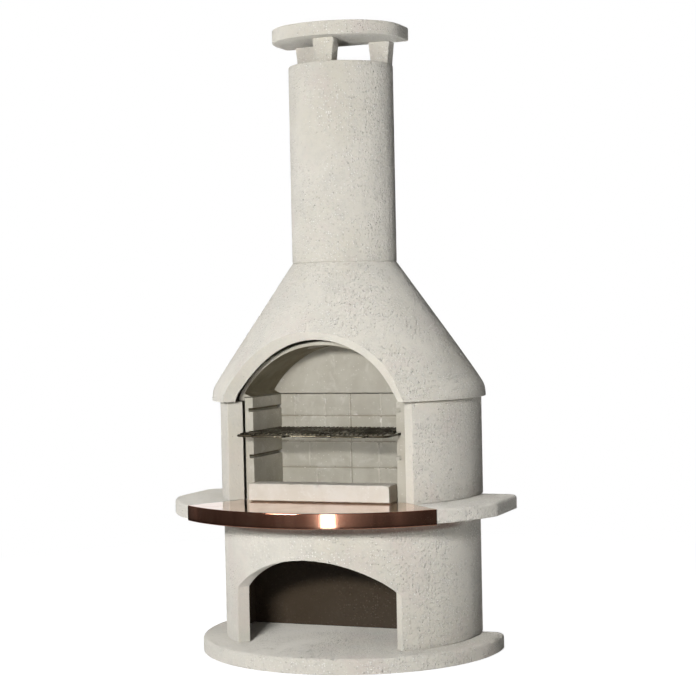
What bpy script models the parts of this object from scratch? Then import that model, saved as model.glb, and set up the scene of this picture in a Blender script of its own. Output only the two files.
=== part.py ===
"""Outdoor masonry barbecue, cast in separate concrete pieces and stacked.

A plinth, an arched base, a table with a copper edge, an open firebox with
a lined hearth and a sliding grate, a conical smoke hood, a flue and a rain cap.
Units are metres and Z is up. The origin lies on the ground on the plane of
symmetry, the open front faces -Y and the flat back of every piece faces +Y.
"""

import math

import bmesh
import bpy

# Clearances shared by all pieces
GAP = 0.0003
CUT_OVERRUN = 0.02

# Flat back plane that stands against a wall
BACK_Y = 0.093

# Plinth slab on the ground
PLINTH_RADIUS = 0.523
PLINTH_THICKNESS = 0.050
PLINTH_BACK_CORNER = 0.040
SLAB_EDGE_ROUND = 0.009

# Arched base that carries the table
BASE_RADIUS = 0.4446
BASE_CENTRE_Y = 0.0047
BASE_WALL = 0.045
BASE_HEIGHT = 0.4288
STORE_HALF_WIDTH = 0.2908
STORE_CROWN_HEIGHT = 0.3005
STORE_ARCH_RADIUS = 0.429

# Table slab
TABLE_HALF_WIDTH = 0.578
TABLE_CORNER_Y = -0.186
TABLE_BOW = 0.4297
TABLE_THICKNESS = 0.045
TABLE_FRONT_CORNER = 0.006
TABLE_BACK_CORNER = 0.045
TABLE_BACK_INSET = 0.012

# Copper sheet that wraps the table's front edge
COPPER_THICKNESS = 0.001
COPPER_LEFT_REACH = 0.404
COPPER_RIGHT_REACH = 0.447
COPPER_DROP = 0.005
COPPER_SIDE_CLEARANCE = 0.001

# Firebox shell, open at the front, with its margins beyond the grate's side
FIREBOX_MARGIN = 0.183
COLUMN_MARGIN = 0.0596
FIREBOX_CENTRE_Y = 0.013
FIREBOX_WALL = 0.0555
FIREBOX_HEIGHT = 0.3343

# Hearth lining, with three pairs of grate grooves
RAIL_BEARING = 0.0137
LINER_THICKNESS = 0.0265
LINER_BACK_THICKNESS = 0.039
LINER_HEIGHT = 0.3489
LINER_FRONT_Y = -0.250
LINER_BACK_FACE_Y = -0.005
GROOVE_HEIGHT = 0.012
GROOVE_FLOOR_HEIGHTS = (0.1400, 0.2200, 0.2970)
GRATE_GROOVE_INDEX = 1

# Fire-clay floor and the loose bar that holds the embers
FLOOR_THICKNESS = 0.030
EMBER_BAR_END_GAP = 0.0093
EMBER_BAR_DEPTH = 0.078
EMBER_BAR_HEIGHT = 0.061
EMBER_BAR_BACK_Y = -0.2435
EMBER_BAR_ROUND = 0.003
EMBER_FLOOR_GAP = 0.0015

# Grate of welded rod
GRATE_WIDTH = 0.540
GRATE_DEPTH = 0.340
GRATE_BACK_CLEARANCE = 0.023
GRATE_SIDE_CLEARANCE = 0.002
RAIL_RADIUS = 0.004
RAIL_CORNER = 0.016
ROD_RADIUS = 0.0025
ROD_PITCH = 0.0165
ROD_SIDE_MARGIN = 0.020
ROD_END_MARGIN = 0.001
BRACE_RADIUS = 0.003
WELD_DEPTH = 0.001
BRACE_SHARES = (0.33, 0.67)
HANDLE_WIRE_RADIUS = 0.003
HANDLE_WIDTH = 0.120
HANDLE_REACH = 0.030
HANDLE_CORNER = 0.010
HANDLE_INSET = 0.130

# Inner cowl that gathers the smoke above the lining
COWL_MARGIN = 0.036
COWL_RISE = 0.185
COWL_WALL = 0.020
COWL_FRONT_Y = -0.252
COWL_BACK_WALL = 0.040
COWL_FLANGE = 0.012
COWL_FLANGE_SETBACK = 0.002
COWL_FLUE_RADIUS = 0.095

# Outer smoke hood
HOOD_OVERHANG = 0.0195
HOOD_CENTRE_Y = -0.0056
HOOD_WALL = 0.0466
HOOD_LIP_HEIGHT = 0.0382
HOOD_CONE_HEIGHT = 0.4241
MOUTH_ARCH_MARGIN = 0.0674
MOUTH_ARCH_DROP = 0.107

# Flue pipe
FLUE_RADIUS = 0.1794
FLUE_CENTRE_Y = -0.0242
FLUE_WALL = 0.045
FLUE_HEIGHT = 0.672

# Rain cap on three feet
FOOT_HEIGHT = 0.080
FOOT_TOP_WIDTH = 0.0764
FOOT_BOTTOM_WIDTH = 0.0597
FOOT_DEPTH = 0.053
FOOT_FRONT_Y = -0.186
FOOT_SIDE_X = 0.135
FOOT_SIDE_Y = -0.0095
CAP_HALF_WIDTH = 0.228
CAP_FRONT_RADIUS = 0.306
CAP_FRONT_Y = -0.242
CAP_BACK_Y = 0.0445
CAP_THICKNESS = 0.0466
CAP_FRONT_CORNER = 0.190
CAP_BACK_CORNER = 0.015
CAP_EDGE_ROUND = 0.006

# Fineness of round shapes
ARC_STEPS = 48
CORNER_STEPS = 6
ROUND_STEPS = 3
MOUTH_STEPS = 32
HOOD_ROWS = 8
TUBE_SIDES = 8
SMOOTH_ANGLE = math.radians(35)
ROUND_BEVEL_SHARE = 0.5

# Widths that follow the grate, whose standard size the lining and the shells are built around
GRATE_HALF = GRATE_WIDTH / 2
HEARTH_HALF = GRATE_HALF - RAIL_BEARING
FIREBOX_RADIUS = GRATE_HALF + FIREBOX_MARGIN
COLUMN_HALF_WIDTH = GRATE_HALF + COLUMN_MARGIN
COWL_HALF_WIDTH = GRATE_HALF + COWL_MARGIN
HOOD_RADIUS = FIREBOX_RADIUS + HOOD_OVERHANG
MOUTH_ARCH_RADIUS = GRATE_HALF + MOUTH_ARCH_MARGIN
HANDLE_OFFSET_X = GRATE_HALF - HANDLE_INSET

# Arc of the table front, from its half-width and its bow
TABLE_FRONT_RADIUS = (TABLE_HALF_WIDTH**2 + TABLE_BOW**2) / (2 * TABLE_BOW)
TABLE_CENTRE_Y = TABLE_CORNER_Y - TABLE_BOW + TABLE_FRONT_RADIUS

# Heights of the stack
BASE_Z = PLINTH_THICKNESS + GAP
TABLE_Z = BASE_Z + BASE_HEIGHT + GAP
TABLE_TOP_Z = TABLE_Z + TABLE_THICKNESS
FIREBOX_Z = TABLE_TOP_Z + GAP
HOOD_Z = FIREBOX_Z + FIREBOX_HEIGHT + GAP
HOOD_LIP_Z = HOOD_Z + HOOD_LIP_HEIGHT
HOOD_TOP_Z = HOOD_LIP_Z + HOOD_CONE_HEIGHT
FLUE_Z = HOOD_TOP_Z + GAP
FLUE_TOP_Z = FLUE_Z + FLUE_HEIGHT
FOOT_Z = FLUE_TOP_Z + GAP
CAP_Z = FOOT_Z + FOOT_HEIGHT + GAP
LINER_TOP_Z = FIREBOX_Z + LINER_HEIGHT
COWL_Z = LINER_TOP_Z + GAP
COPPER_Z = TABLE_TOP_Z + GAP
EMBER_BAR_Z = COPPER_Z + COPPER_THICKNESS + GAP
RAIL_Z = FIREBOX_Z + GROOVE_FLOOR_HEIGHTS[GRATE_GROOVE_INDEX] + GAP + RAIL_RADIUS
ROD_Z = RAIL_Z + RAIL_RADIUS + GAP + ROD_RADIUS
BRACE_Z = ROD_Z - ROD_RADIUS - BRACE_RADIUS + WELD_DEPTH
GRATE_BACK_Y = LINER_BACK_FACE_Y - GRATE_BACK_CLEARANCE
GRATE_FRONT_Y = GRATE_BACK_Y - GRATE_DEPTH


def clear_scene():
    """Remove every object of the start-up scene."""
    for item in list(bpy.data.objects):
        bpy.data.objects.remove(item, do_unlink=True)


def material(name, colour, roughness, metallic=0.0):
    """Return a plain Principled material."""
    made = bpy.data.materials.new(name)
    made.use_nodes = True
    shader = made.node_tree.nodes["Principled BSDF"]
    shader.inputs["Base Color"].default_value = (*colour, 1.0)
    shader.inputs["Roughness"].default_value = roughness
    shader.inputs["Metallic"].default_value = metallic
    made.diffuse_color = (*colour, 1.0)
    return made


def place(name, mesh, finish):
    """Link a mesh as a named object with one material."""
    node = bpy.data.objects.new(name, mesh)
    bpy.context.scene.collection.objects.link(node)
    mesh.materials.append(finish)
    return node


def finish_mesh(name, shape, smooth=True):
    """Turn a bmesh into a mesh with outward faces."""
    bmesh.ops.recalc_face_normals(shape, faces=shape.faces)
    if shape.calc_volume(signed=True) < 0:
        bmesh.ops.reverse_faces(shape, faces=shape.faces)
    mesh = bpy.data.meshes.new(name)
    shape.to_mesh(mesh)
    shape.free()
    if smooth:
        mesh.shade_smooth()
        mesh.set_sharp_from_angle(angle=SMOOTH_ANGLE)
    return mesh


def cutter(name, shape):
    """Return a hidden wire object for a Boolean."""
    node = bpy.data.objects.new(name, finish_mesh(name, shape, smooth=False))
    bpy.context.scene.collection.objects.link(node)
    node.hide_render = True
    node.display_type = "WIRE"
    return node


def boolean(node, tool, operation="DIFFERENCE"):
    """Add an exact Boolean to an object."""
    modifier = node.modifiers.new(tool.name, "BOOLEAN")
    modifier.operation = operation
    modifier.solver = "EXACT"
    modifier.object = tool


def solidify(node, thickness):
    """Give an outer skin its wall, measured inward and square to the skin."""
    modifier = node.modifiers.new("wall", "SOLIDIFY")
    modifier.thickness = thickness
    modifier.offset = -1
    modifier.use_even_offset = True
    modifier.use_quality_normals = True


def arc(radius, centre_x, centre_y, start, end, steps):
    """Points of an arc whose angle is measured from the front, positive to +X."""
    angles = (start + (end - start) * step / steps for step in range(steps + 1))
    return [(centre_x + radius * math.sin(a), centre_y - radius * math.cos(a)) for a in angles]


def mirrored(right_half):
    """Complete a plan from its right half, which runs from the front to the back."""
    left_half = [(-x, y) for x, y in reversed(right_half) if x > GAP]
    return right_half + left_half


def round_plan(radius, centre_y, back_y, corner):
    """Plan with a round front, a straight back and rounded back corners."""
    corner_y = back_y - corner
    corner_x = math.sqrt((radius - corner) ** 2 - (corner_y - centre_y) ** 2)
    meet = math.atan2(corner_x, centre_y - corner_y)
    front = arc(radius, 0, centre_y, 0, meet, ARC_STEPS // 2)
    return mirrored(front + arc(corner, corner_x, corner_y, meet, math.pi, CORNER_STEPS)[1:])


def slab_plan(half_width, radius, centre_y, back_y, front_corner, back_corner):
    """Plan with a shallow round front, straight sides and a straight back."""
    corner_x = half_width - front_corner
    corner_y = centre_y - math.sqrt((radius - front_corner) ** 2 - corner_x**2)
    meet = math.atan2(corner_x, centre_y - corner_y)
    right_half = arc(radius, 0, centre_y, 0, meet, ARC_STEPS // 2)
    right_half += arc(front_corner, corner_x, corner_y, meet, math.pi / 2, CORNER_STEPS)[1:]
    back_x = half_width - back_corner
    back_arc_y = back_y - back_corner
    right_half += arc(back_corner, back_x, back_arc_y, math.pi / 2, math.pi, CORNER_STEPS)
    return mirrored(right_half)


def extruded(outline, depth):
    """Sweep a closed 3-D outline along a vector into a closed bmesh."""
    shape = bmesh.new()
    face = shape.faces.new([shape.verts.new(point) for point in outline])
    swept = bmesh.ops.extrude_face_region(shape, geom=[face])
    verts = [item for item in swept["geom"] if isinstance(item, bmesh.types.BMVert)]
    bmesh.ops.translate(shape, verts=verts, vec=depth)
    return shape


def prism(plan, z_low, z_high):
    """Closed bmesh that stands on a plan."""
    return extruded([(x, y, z_low) for x, y in plan], (0, 0, z_high - z_low))


def profile(points, y_low, y_high):
    """Closed bmesh that runs along Y with an X and Z outline."""
    return extruded([(x, y_low, z) for x, z in points], (0, y_high - y_low, 0))


def box(x_low, x_high, y_low, y_high, z_low, z_high):
    """Closed rectangular bmesh."""
    plan = [(x_low, y_low), (x_high, y_low), (x_high, y_high), (x_low, y_high)]
    return prism(plan, z_low, z_high)


def round_edges(shape, radius, steps, chosen):
    """Round the edges that a test picks."""
    edges = [edge for edge in shape.edges if chosen(edge)]
    bmesh.ops.bevel(
        shape, geom=edges, offset=radius, segments=steps, profile=ROUND_BEVEL_SHARE,
        affect="EDGES", clamp_overlap=True,
    )


def slab(name, plan, z_low, thickness, edge_round, finish):
    """Cast slab on a plan, with its upper edge rounded."""
    shape = prism(plan, z_low, z_low + thickness)
    z_top = z_low + thickness

    def on_top(edge):
        return all(abs(vert.co.z - z_top) < GAP for vert in edge.verts)

    round_edges(shape, edge_round, ROUND_STEPS, on_top)
    return place(name, finish_mesh(name, shape), finish)


def wall(name, plan, closed, z_low, z_high, thickness, finish):
    """Upright wall on a plan, with its thickness measured inward."""
    shape = bmesh.new()
    columns = [(shape.verts.new((x, y, z_low)), shape.verts.new((x, y, z_high))) for x, y in plan]
    pairs = list(zip(columns, columns[1:]))
    if closed:
        pairs.append((columns[-1], columns[0]))
    for (low, high), (next_low, next_high) in pairs:
        shape.faces.new((low, next_low, next_high, high))
    mesh = bpy.data.meshes.new(name)
    shape.to_mesh(mesh)
    shape.free()
    mesh.shade_smooth()
    mesh.set_sharp_from_angle(angle=SMOOTH_ANGLE)
    node = place(name, mesh, finish)
    solidify(node, thickness)


def hollow(rings):
    """Join a closed chain of rings, out along one side and back along the other."""
    shape = bmesh.new()
    grid = [[shape.verts.new(point) for point in ring] for ring in rings]
    for here, after in zip(grid, grid[1:] + grid[:1]):
        for index in range(len(here)):
            step = (index + 1) % len(here)
            shape.faces.new((here[index], here[step], after[step], after[index]))
    return shape


def back_angle(radius, centre_y, back_y=BACK_Y):
    """Angle from the front at which an arc meets the back plane."""
    return math.acos((centre_y - back_y) / radius)


def wall_plan(radius, centre_y, opening_angle=0.0):
    """Outer line of a round wall with a flat back, open at the front if asked."""
    end = back_angle(radius, centre_y)
    right = arc(radius, 0, centre_y, opening_angle, end, ARC_STEPS // 2)
    left = [(-x, y) for x, y in reversed(right)]
    return right + (left if opening_angle else left[:-1])


def make_plinth(finish):
    """Slab that spreads the weight on the ground."""
    plan = round_plan(PLINTH_RADIUS, 0, BACK_Y, PLINTH_BACK_CORNER)
    slab("plinth_slab", plan, 0, PLINTH_THICKNESS, SLAB_EDGE_ROUND, finish)


def loft_cutter(name, shape, rings):
    """Close a block between two rings of points and return it as a cutter."""
    near, far = rings
    shape.faces.new(near)
    shape.faces.new(list(reversed(far)))
    for index in range(len(near)):
        after = (index + 1) % len(near)
        shape.faces.new((near[index], far[index], far[after], near[after]))
    bmesh.ops.triangulate(shape, faces=shape.faces)
    return cutter(name, shape)


def store_arch_cutter():
    """Wedge whose sides run to the wall's own centre, so the jambs are radial."""
    jamb_angle = math.asin(STORE_HALF_WIDTH / BASE_RADIUS)
    crown_z = BASE_Z + STORE_CROWN_HEIGHT
    edge = [(-jamb_angle, BASE_Z - CUT_OVERRUN)]
    for step in range(ARC_STEPS // 2 + 1):
        angle = jamb_angle * (4 * step / ARC_STEPS - 1)
        x = BASE_RADIUS * math.sin(angle)
        edge.append((angle, crown_z - STORE_ARCH_RADIUS + math.sqrt(STORE_ARCH_RADIUS**2 - x * x)))
    edge.append((jamb_angle, BASE_Z - CUT_OVERRUN))
    shape = bmesh.new()
    rings = ([], [])
    for ring, radius in zip(rings, (BASE_RADIUS / 2, BASE_RADIUS * 2)):
        for angle, z in edge:
            place_y = BASE_CENTRE_Y - radius * math.cos(angle)
            ring.append(shape.verts.new((radius * math.sin(angle), place_y, z)))
    return loft_cutter("store_arch_cut", shape, rings)


def make_base(finish):
    """Round wall with an arched store in its front."""
    plan = wall_plan(BASE_RADIUS, BASE_CENTRE_Y)
    wall("base_shell", plan, True, BASE_Z, BASE_Z + BASE_HEIGHT, BASE_WALL, finish)
    boolean(bpy.data.objects["base_shell"], store_arch_cutter())


def make_table(finish):
    """Work surface and hearth plate in one slab."""
    plan = slab_plan(
        TABLE_HALF_WIDTH,
        TABLE_FRONT_RADIUS,
        TABLE_CENTRE_Y,
        BACK_Y - TABLE_BACK_INSET,
        TABLE_FRONT_CORNER,
        TABLE_BACK_CORNER,
    )
    slab("table_slab", plan, TABLE_Z, TABLE_THICKNESS, SLAB_EDGE_ROUND, finish)


def column_corner():
    """Inner front corner of a firebox column, where the lining begins."""
    angle = math.asin(COLUMN_HALF_WIDTH / FIREBOX_RADIUS)
    inner = FIREBOX_RADIUS - FIREBOX_WALL
    return inner * math.sin(angle), FIREBOX_CENTRE_Y - inner * math.cos(angle)


def make_copper(finish):
    """Folded sheet: a top that runs under the ember bar and a skirt in front."""
    inner = TABLE_FRONT_RADIUS + GAP
    outer = inner + COPPER_THICKNESS
    left = -math.asin(COPPER_LEFT_REACH / outer)
    right = math.asin(COPPER_RIGHT_REACH / outer)
    corner_x, corner_y = column_corner()
    corner_x -= COPPER_SIDE_CLEARANCE
    corner_y -= COPPER_SIDE_CLEARANCE
    throat_x = HEARTH_HALF - COPPER_SIDE_CLEARANCE
    throat_y = min(corner_y, LINER_FRONT_Y - COPPER_SIDE_CLEARANCE)
    top = arc(outer, 0, TABLE_CENTRE_Y, left, right, ARC_STEPS)
    top += [(corner_x, corner_y), (throat_x, throat_y), (throat_x, EMBER_BAR_BACK_Y)]
    top += [(-throat_x, EMBER_BAR_BACK_Y), (-throat_x, throat_y), (-corner_x, corner_y)]
    z_top = COPPER_Z + COPPER_THICKNESS
    sheet = finish_mesh("copper_trim", prism(top, COPPER_Z, z_top))
    node = place("copper_trim", sheet, finish)
    band = arc(outer, 0, TABLE_CENTRE_Y, left, right, ARC_STEPS)
    band += list(reversed(arc(inner, 0, TABLE_CENTRE_Y, left, right, ARC_STEPS)))
    boolean(node, cutter("copper_skirt_form", prism(band, TABLE_Z - COPPER_DROP, z_top)), "UNION")


def make_firebox(finish):
    """Round wall behind and beside the fire, ending in two front columns."""
    opening = math.asin(COLUMN_HALF_WIDTH / FIREBOX_RADIUS)
    plan = wall_plan(FIREBOX_RADIUS, FIREBOX_CENTRE_Y, opening)
    z_high = FIREBOX_Z + FIREBOX_HEIGHT
    wall("firebox_shell", plan, False, FIREBOX_Z, z_high, FIREBOX_WALL, finish)


def liner_outline(side):
    """Side panel's outline with its grooves, on the side given by its sign."""
    groove_x = GRATE_HALF + GRATE_SIDE_CLEARANCE
    outer_x = HEARTH_HALF + LINER_THICKNESS
    points = [(HEARTH_HALF, FIREBOX_Z)]
    for height in GROOVE_FLOOR_HEIGHTS:
        floor_z = FIREBOX_Z + height
        roof_z = floor_z + GROOVE_HEIGHT
        points += [(HEARTH_HALF, floor_z), (groove_x, floor_z), (groove_x, roof_z), (HEARTH_HALF, roof_z)]
    points += [(HEARTH_HALF, LINER_TOP_Z), (outer_x, LINER_TOP_Z), (outer_x, FIREBOX_Z)]
    return [(side * x, z) for x, z in points]


def make_liner(finish):
    """Two grooved side panels and a back panel of fire clay."""
    for name, side in (("liner_left", -1), ("liner_right", 1)):
        shape = profile(liner_outline(side), LINER_FRONT_Y, LINER_BACK_FACE_Y - GAP)
        place(name, finish_mesh(name, shape, smooth=False), finish)
    outer_x = HEARTH_HALF + LINER_THICKNESS
    back_y = LINER_BACK_FACE_Y + LINER_BACK_THICKNESS
    shape = box(-outer_x, outer_x, LINER_BACK_FACE_Y, back_y, FIREBOX_Z, LINER_TOP_Z)
    place("liner_back", finish_mesh("liner_back", shape, smooth=False), finish)


def make_hearth(floor_finish, bar_finish):
    """Floor under the embers and the loose bar in front of it."""
    half = HEARTH_HALF - COPPER_SIDE_CLEARANCE
    front_y = EMBER_BAR_BACK_Y + EMBER_FLOOR_GAP
    back_y = LINER_BACK_FACE_Y - GAP
    shape = box(-half, half, front_y, back_y, FIREBOX_Z, FIREBOX_Z + FLOOR_THICKNESS)
    place("hearth_floor", finish_mesh("hearth_floor", shape, smooth=False), floor_finish)
    bar_half = HEARTH_HALF - EMBER_BAR_END_GAP
    bar_front_y = EMBER_BAR_BACK_Y - EMBER_BAR_DEPTH
    bar_top_z = EMBER_BAR_Z + EMBER_BAR_HEIGHT
    bar = box(-bar_half, bar_half, bar_front_y, EMBER_BAR_BACK_Y, EMBER_BAR_Z, bar_top_z)

    def on_top(edge):
        return max(vert.co.z for vert in edge.verts) > bar_top_z - GAP

    round_edges(bar, EMBER_BAR_ROUND, ROUND_STEPS, on_top)
    place("ember_bar", finish_mesh("ember_bar", bar), bar_finish)


def bent(points, corner, closed):
    """Round the corners of a wire's route, given as X and Y places."""
    count = len(points)
    route = []
    for index, (x, y) in enumerate(points):
        if not closed and index in (0, count - 1):
            route.append((x, y))
            continue
        before = points[index - 1]
        after = points[(index + 1) % count]
        in_x, in_y = unit(before, (x, y))
        out_x, out_y = unit((x, y), after)
        centre_x = x + corner * (out_x - in_x)
        centre_y = y + corner * (out_y - in_y)
        for step in range(CORNER_STEPS + 1):
            turn = math.pi / 2 * step / CORNER_STEPS
            place_x = centre_x - corner * (out_x * math.cos(turn) - in_x * math.sin(turn))
            place_y = centre_y - corner * (out_y * math.cos(turn) - in_y * math.sin(turn))
            route.append((place_x, place_y))
    return route


def unit(start, end):
    """Direction from one place to the next."""
    length = math.dist(start, end)
    return (end[0] - start[0]) / length, (end[1] - start[1]) / length


def tube(shape, route, radius, closed=False):
    """Add a round rod along a level route to a bmesh."""
    rings = []
    count = len(route)
    for index, (x, y, z) in enumerate(route):
        before = route[index - 1] if closed or index else route[index]
        after = route[(index + 1) % count] if closed or index < count - 1 else route[index]
        along_x, along_y = unit(before[:2], after[:2])
        ring = []
        for side in range(TUBE_SIDES):
            turn = 2 * math.pi * side / TUBE_SIDES
            across = radius * math.cos(turn)
            side_z = z + radius * math.sin(turn)
            ring.append(shape.verts.new((x - along_y * across, y + along_x * across, side_z)))
        rings.append(ring)
    for index in range(count if closed else count - 1):
        here = rings[index]
        after = rings[(index + 1) % count]
        for side in range(TUBE_SIDES):
            other = (side + 1) % TUBE_SIDES
            shape.faces.new((here[side], here[other], after[other], after[side]))
    if not closed:
        shape.faces.new(rings[0])
        shape.faces.new(list(reversed(rings[-1])))


def rod(name, route, radius, finish, closed=False):
    """Make one bent rod as an object."""
    shape = bmesh.new()
    tube(shape, route, radius, closed)
    place(name, finish_mesh(name, shape), finish)


def make_grate(finish):
    """Frame, a welded field of rods on two braces, and two pull handles."""
    side_x = GRATE_HALF - RAIL_RADIUS
    front_y = GRATE_FRONT_Y + RAIL_RADIUS
    back_y = GRATE_BACK_Y - RAIL_RADIUS
    corners = [(-side_x, front_y), (side_x, front_y), (side_x, back_y), (-side_x, back_y)]
    frame = [(x, y, RAIL_Z) for x, y in bent(corners, RAIL_CORNER, True)]
    rod("grate_frame", frame, RAIL_RADIUS, finish, closed=True)

    field = bmesh.new()
    span = GRATE_WIDTH - 2 * ROD_SIDE_MARGIN
    gaps = round(span / ROD_PITCH)
    rod_front = GRATE_FRONT_Y + ROD_END_MARGIN
    rod_back = GRATE_BACK_Y - ROD_END_MARGIN
    for index in range(gaps + 1):
        x = span * index / gaps - span / 2
        tube(field, [(x, rod_front, ROD_Z), (x, rod_back, ROD_Z)], ROD_RADIUS)
    node = place("grate_rods", finish_mesh("grate_rods", field), finish)
    reach = span / 2 + ROD_RADIUS + BRACE_RADIUS
    braces = bmesh.new()
    for share in BRACE_SHARES:
        y = GRATE_FRONT_Y + GRATE_DEPTH * share
        tube(braces, [(-reach, y, BRACE_Z), (reach, y, BRACE_Z)], BRACE_RADIUS)
    boolean(node, cutter("grate_brace_form", braces), "UNION")

    for name, side in (("grate_handle_left", -1), ("grate_handle_right", 1)):
        near = side * HANDLE_OFFSET_X - HANDLE_WIDTH / 2
        far = near + HANDLE_WIDTH
        start_y = GRATE_FRONT_Y - GAP
        end_y = GRATE_FRONT_Y - HANDLE_REACH
        loop = bent([(near, start_y), (near, end_y), (far, end_y), (far, start_y)], HANDLE_CORNER, False)
        rod(name, [(x, y, RAIL_Z) for x, y in loop], HANDLE_WIRE_RADIUS, finish)


def make_cowl(finish):
    """Arched tunnel on the lining, closed behind, with a round smoke outlet."""
    radius = (COWL_HALF_WIDTH**2 + COWL_RISE**2) / (2 * COWL_RISE)
    centre_z = COWL_Z + COWL_RISE - radius
    half_angle = math.asin(COWL_HALF_WIDTH / radius)
    steps = ARC_STEPS // 2
    turns = [half_angle * (2 * step / steps - 1) for step in range(steps + 1)]
    outer = [(radius * math.sin(a), centre_z + radius * math.cos(a)) for a in turns]
    back_y = LINER_BACK_FACE_Y + COWL_BACK_WALL
    node = place("inner_cowl", finish_mesh("inner_cowl", profile(outer, COWL_FRONT_Y, back_y)), finish)

    inner_radius = radius - COWL_WALL
    flange_z = COWL_Z + COWL_FLANGE
    flange_x = HEARTH_HALF + COWL_FLANGE_SETBACK
    inner_angle = math.acos((flange_z - centre_z) / inner_radius)
    turns = [inner_angle * (2 * step / steps - 1) for step in range(steps + 1)]
    inner = [(-flange_x, COWL_Z - CUT_OVERRUN), (-flange_x, flange_z)]
    inner += [(inner_radius * math.sin(a), centre_z + inner_radius * math.cos(a)) for a in turns]
    inner += [(flange_x, flange_z), (flange_x, COWL_Z - CUT_OVERRUN)]
    tunnel = profile(inner, COWL_FRONT_Y - CUT_OVERRUN, LINER_BACK_FACE_Y)
    boolean(node, cutter("cowl_hollow_cut", tunnel))

    centre_y = (COWL_FRONT_Y + LINER_BACK_FACE_Y) / 2
    outlet = arc(COWL_FLUE_RADIUS, 0, centre_y, 0, 2 * math.pi, ARC_STEPS // 2)[:-1]
    z_low = centre_z + math.sqrt(inner_radius**2 - COWL_FLUE_RADIUS**2) - CUT_OVERRUN
    z_high = COWL_Z + COWL_RISE + CUT_OVERRUN
    boolean(node, cutter("cowl_outlet_cut", prism(outlet, z_low, z_high)))


def hood_ring(z):
    """Outer radius and centre of the hood: an upright lip under a straight cone."""
    share = max(z - HOOD_LIP_Z, 0) / HOOD_CONE_HEIGHT
    radius = HOOD_RADIUS + (FLUE_RADIUS - HOOD_RADIUS) * share
    return radius, HOOD_CENTRE_Y + (FLUE_CENTRE_Y - HOOD_CENTRE_Y) * share


def hood_slope():
    """Angle between the cone's side and the vertical."""
    return math.atan2(HOOD_RADIUS - FLUE_RADIUS, HOOD_CONE_HEIGHT)


def hood_levels(knee_z):
    """Heights of the rows between the rim, the knee above the lip and the top."""
    return [HOOD_Z] + [knee_z + (HOOD_TOP_Z - knee_z) * row / HOOD_ROWS for row in range(HOOD_ROWS + 1)]


def mouth_cutter():
    """Block on the mouth's outline, with sides that stand square to the hood."""
    arch_z = HOOD_Z - MOUTH_ARCH_DROP
    end = math.acos(MOUTH_ARCH_DROP / MOUTH_ARCH_RADIUS)
    half_x = MOUTH_ARCH_RADIUS * math.sin(end)
    edge = [(-half_x, HOOD_Z - CUT_OVERRUN)]
    for step in range(MOUTH_STEPS + 1):
        swing = end * (2 * step / MOUTH_STEPS - 1)
        edge.append((MOUTH_ARCH_RADIUS * math.sin(swing), arch_z + MOUTH_ARCH_RADIUS * math.cos(swing)))
    edge.append((half_x, HOOD_Z - CUT_OVERRUN))
    slope = hood_slope()
    inward = 2 * HOOD_WALL
    shape = bmesh.new()
    rings = ([], [])
    for x, z in edge:
        radius, centre_y = hood_ring(z)
        angle = math.asin(x / radius)
        tilt = slope * min(max(z - HOOD_Z, 0) / inward, 1)
        for ring, reach in zip(rings, (-inward, HOOD_RADIUS)):
            out = radius + reach * math.cos(tilt)
            place_y = centre_y - out * math.cos(angle)
            ring.append(shape.verts.new((out * math.sin(angle), place_y, z + reach * math.sin(tilt))))
    return loft_cutter("hood_mouth_cut", shape, rings)


def make_hood(finish):
    """Conical smoke hood with an arched mouth, cut square to its own wall."""
    slope = hood_slope()
    inner_knee_z = HOOD_LIP_Z - HOOD_WALL * math.tan(slope / 2)
    rows = [(z, *hood_ring(z), BACK_Y) for z in hood_levels(HOOD_LIP_Z)]
    for z in reversed(hood_levels(inner_knee_z)):
        radius = HOOD_RADIUS - HOOD_WALL - max(z - inner_knee_z, 0) * math.tan(slope)
        rows.append((z, radius, hood_ring(z)[1], BACK_Y - HOOD_WALL))
    rings = []
    for z, radius, centre_y, back_y in rows:
        end = back_angle(radius, centre_y, back_y)
        rings.append([(x, y, z) for x, y in arc(radius, 0, centre_y, -end, end, ARC_STEPS)])
    node = place("outer_hood", finish_mesh("outer_hood", hollow(rings)), finish)
    boolean(node, mouth_cutter())


def make_flue(finish):
    """Pipe above the hood, with a flat back."""
    plan = wall_plan(FLUE_RADIUS, FLUE_CENTRE_Y)
    wall("flue_pipe", plan, True, FLUE_Z, FLUE_TOP_Z, FLUE_WALL, finish)


def make_cap(finish):
    """Rain cap and the three tapered feet that hold it clear of the flue."""
    top = FOOT_TOP_WIDTH / 2
    bottom = FOOT_BOTTOM_WIDTH / 2
    feet = {
        "cap_foot_front": (0, FOOT_FRONT_Y),
        "cap_foot_left": (-FOOT_SIDE_X, FOOT_SIDE_Y),
        "cap_foot_right": (FOOT_SIDE_X, FOOT_SIDE_Y),
    }
    for name, (x, y) in feet.items():
        top_z = FOOT_Z + FOOT_HEIGHT
        outline = [(x - bottom, FOOT_Z), (x + bottom, FOOT_Z), (x + top, top_z), (x - top, top_z)]
        shape = profile(outline, y, y + FOOT_DEPTH)
        place(name, finish_mesh(name, shape, smooth=False), finish)
    centre_y = CAP_FRONT_Y + CAP_FRONT_RADIUS
    plan = slab_plan(
        CAP_HALF_WIDTH, CAP_FRONT_RADIUS, centre_y, CAP_BACK_Y, CAP_FRONT_CORNER, CAP_BACK_CORNER
    )
    slab("cap_slab", plan, CAP_Z, CAP_THICKNESS, CAP_EDGE_ROUND, finish)


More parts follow.
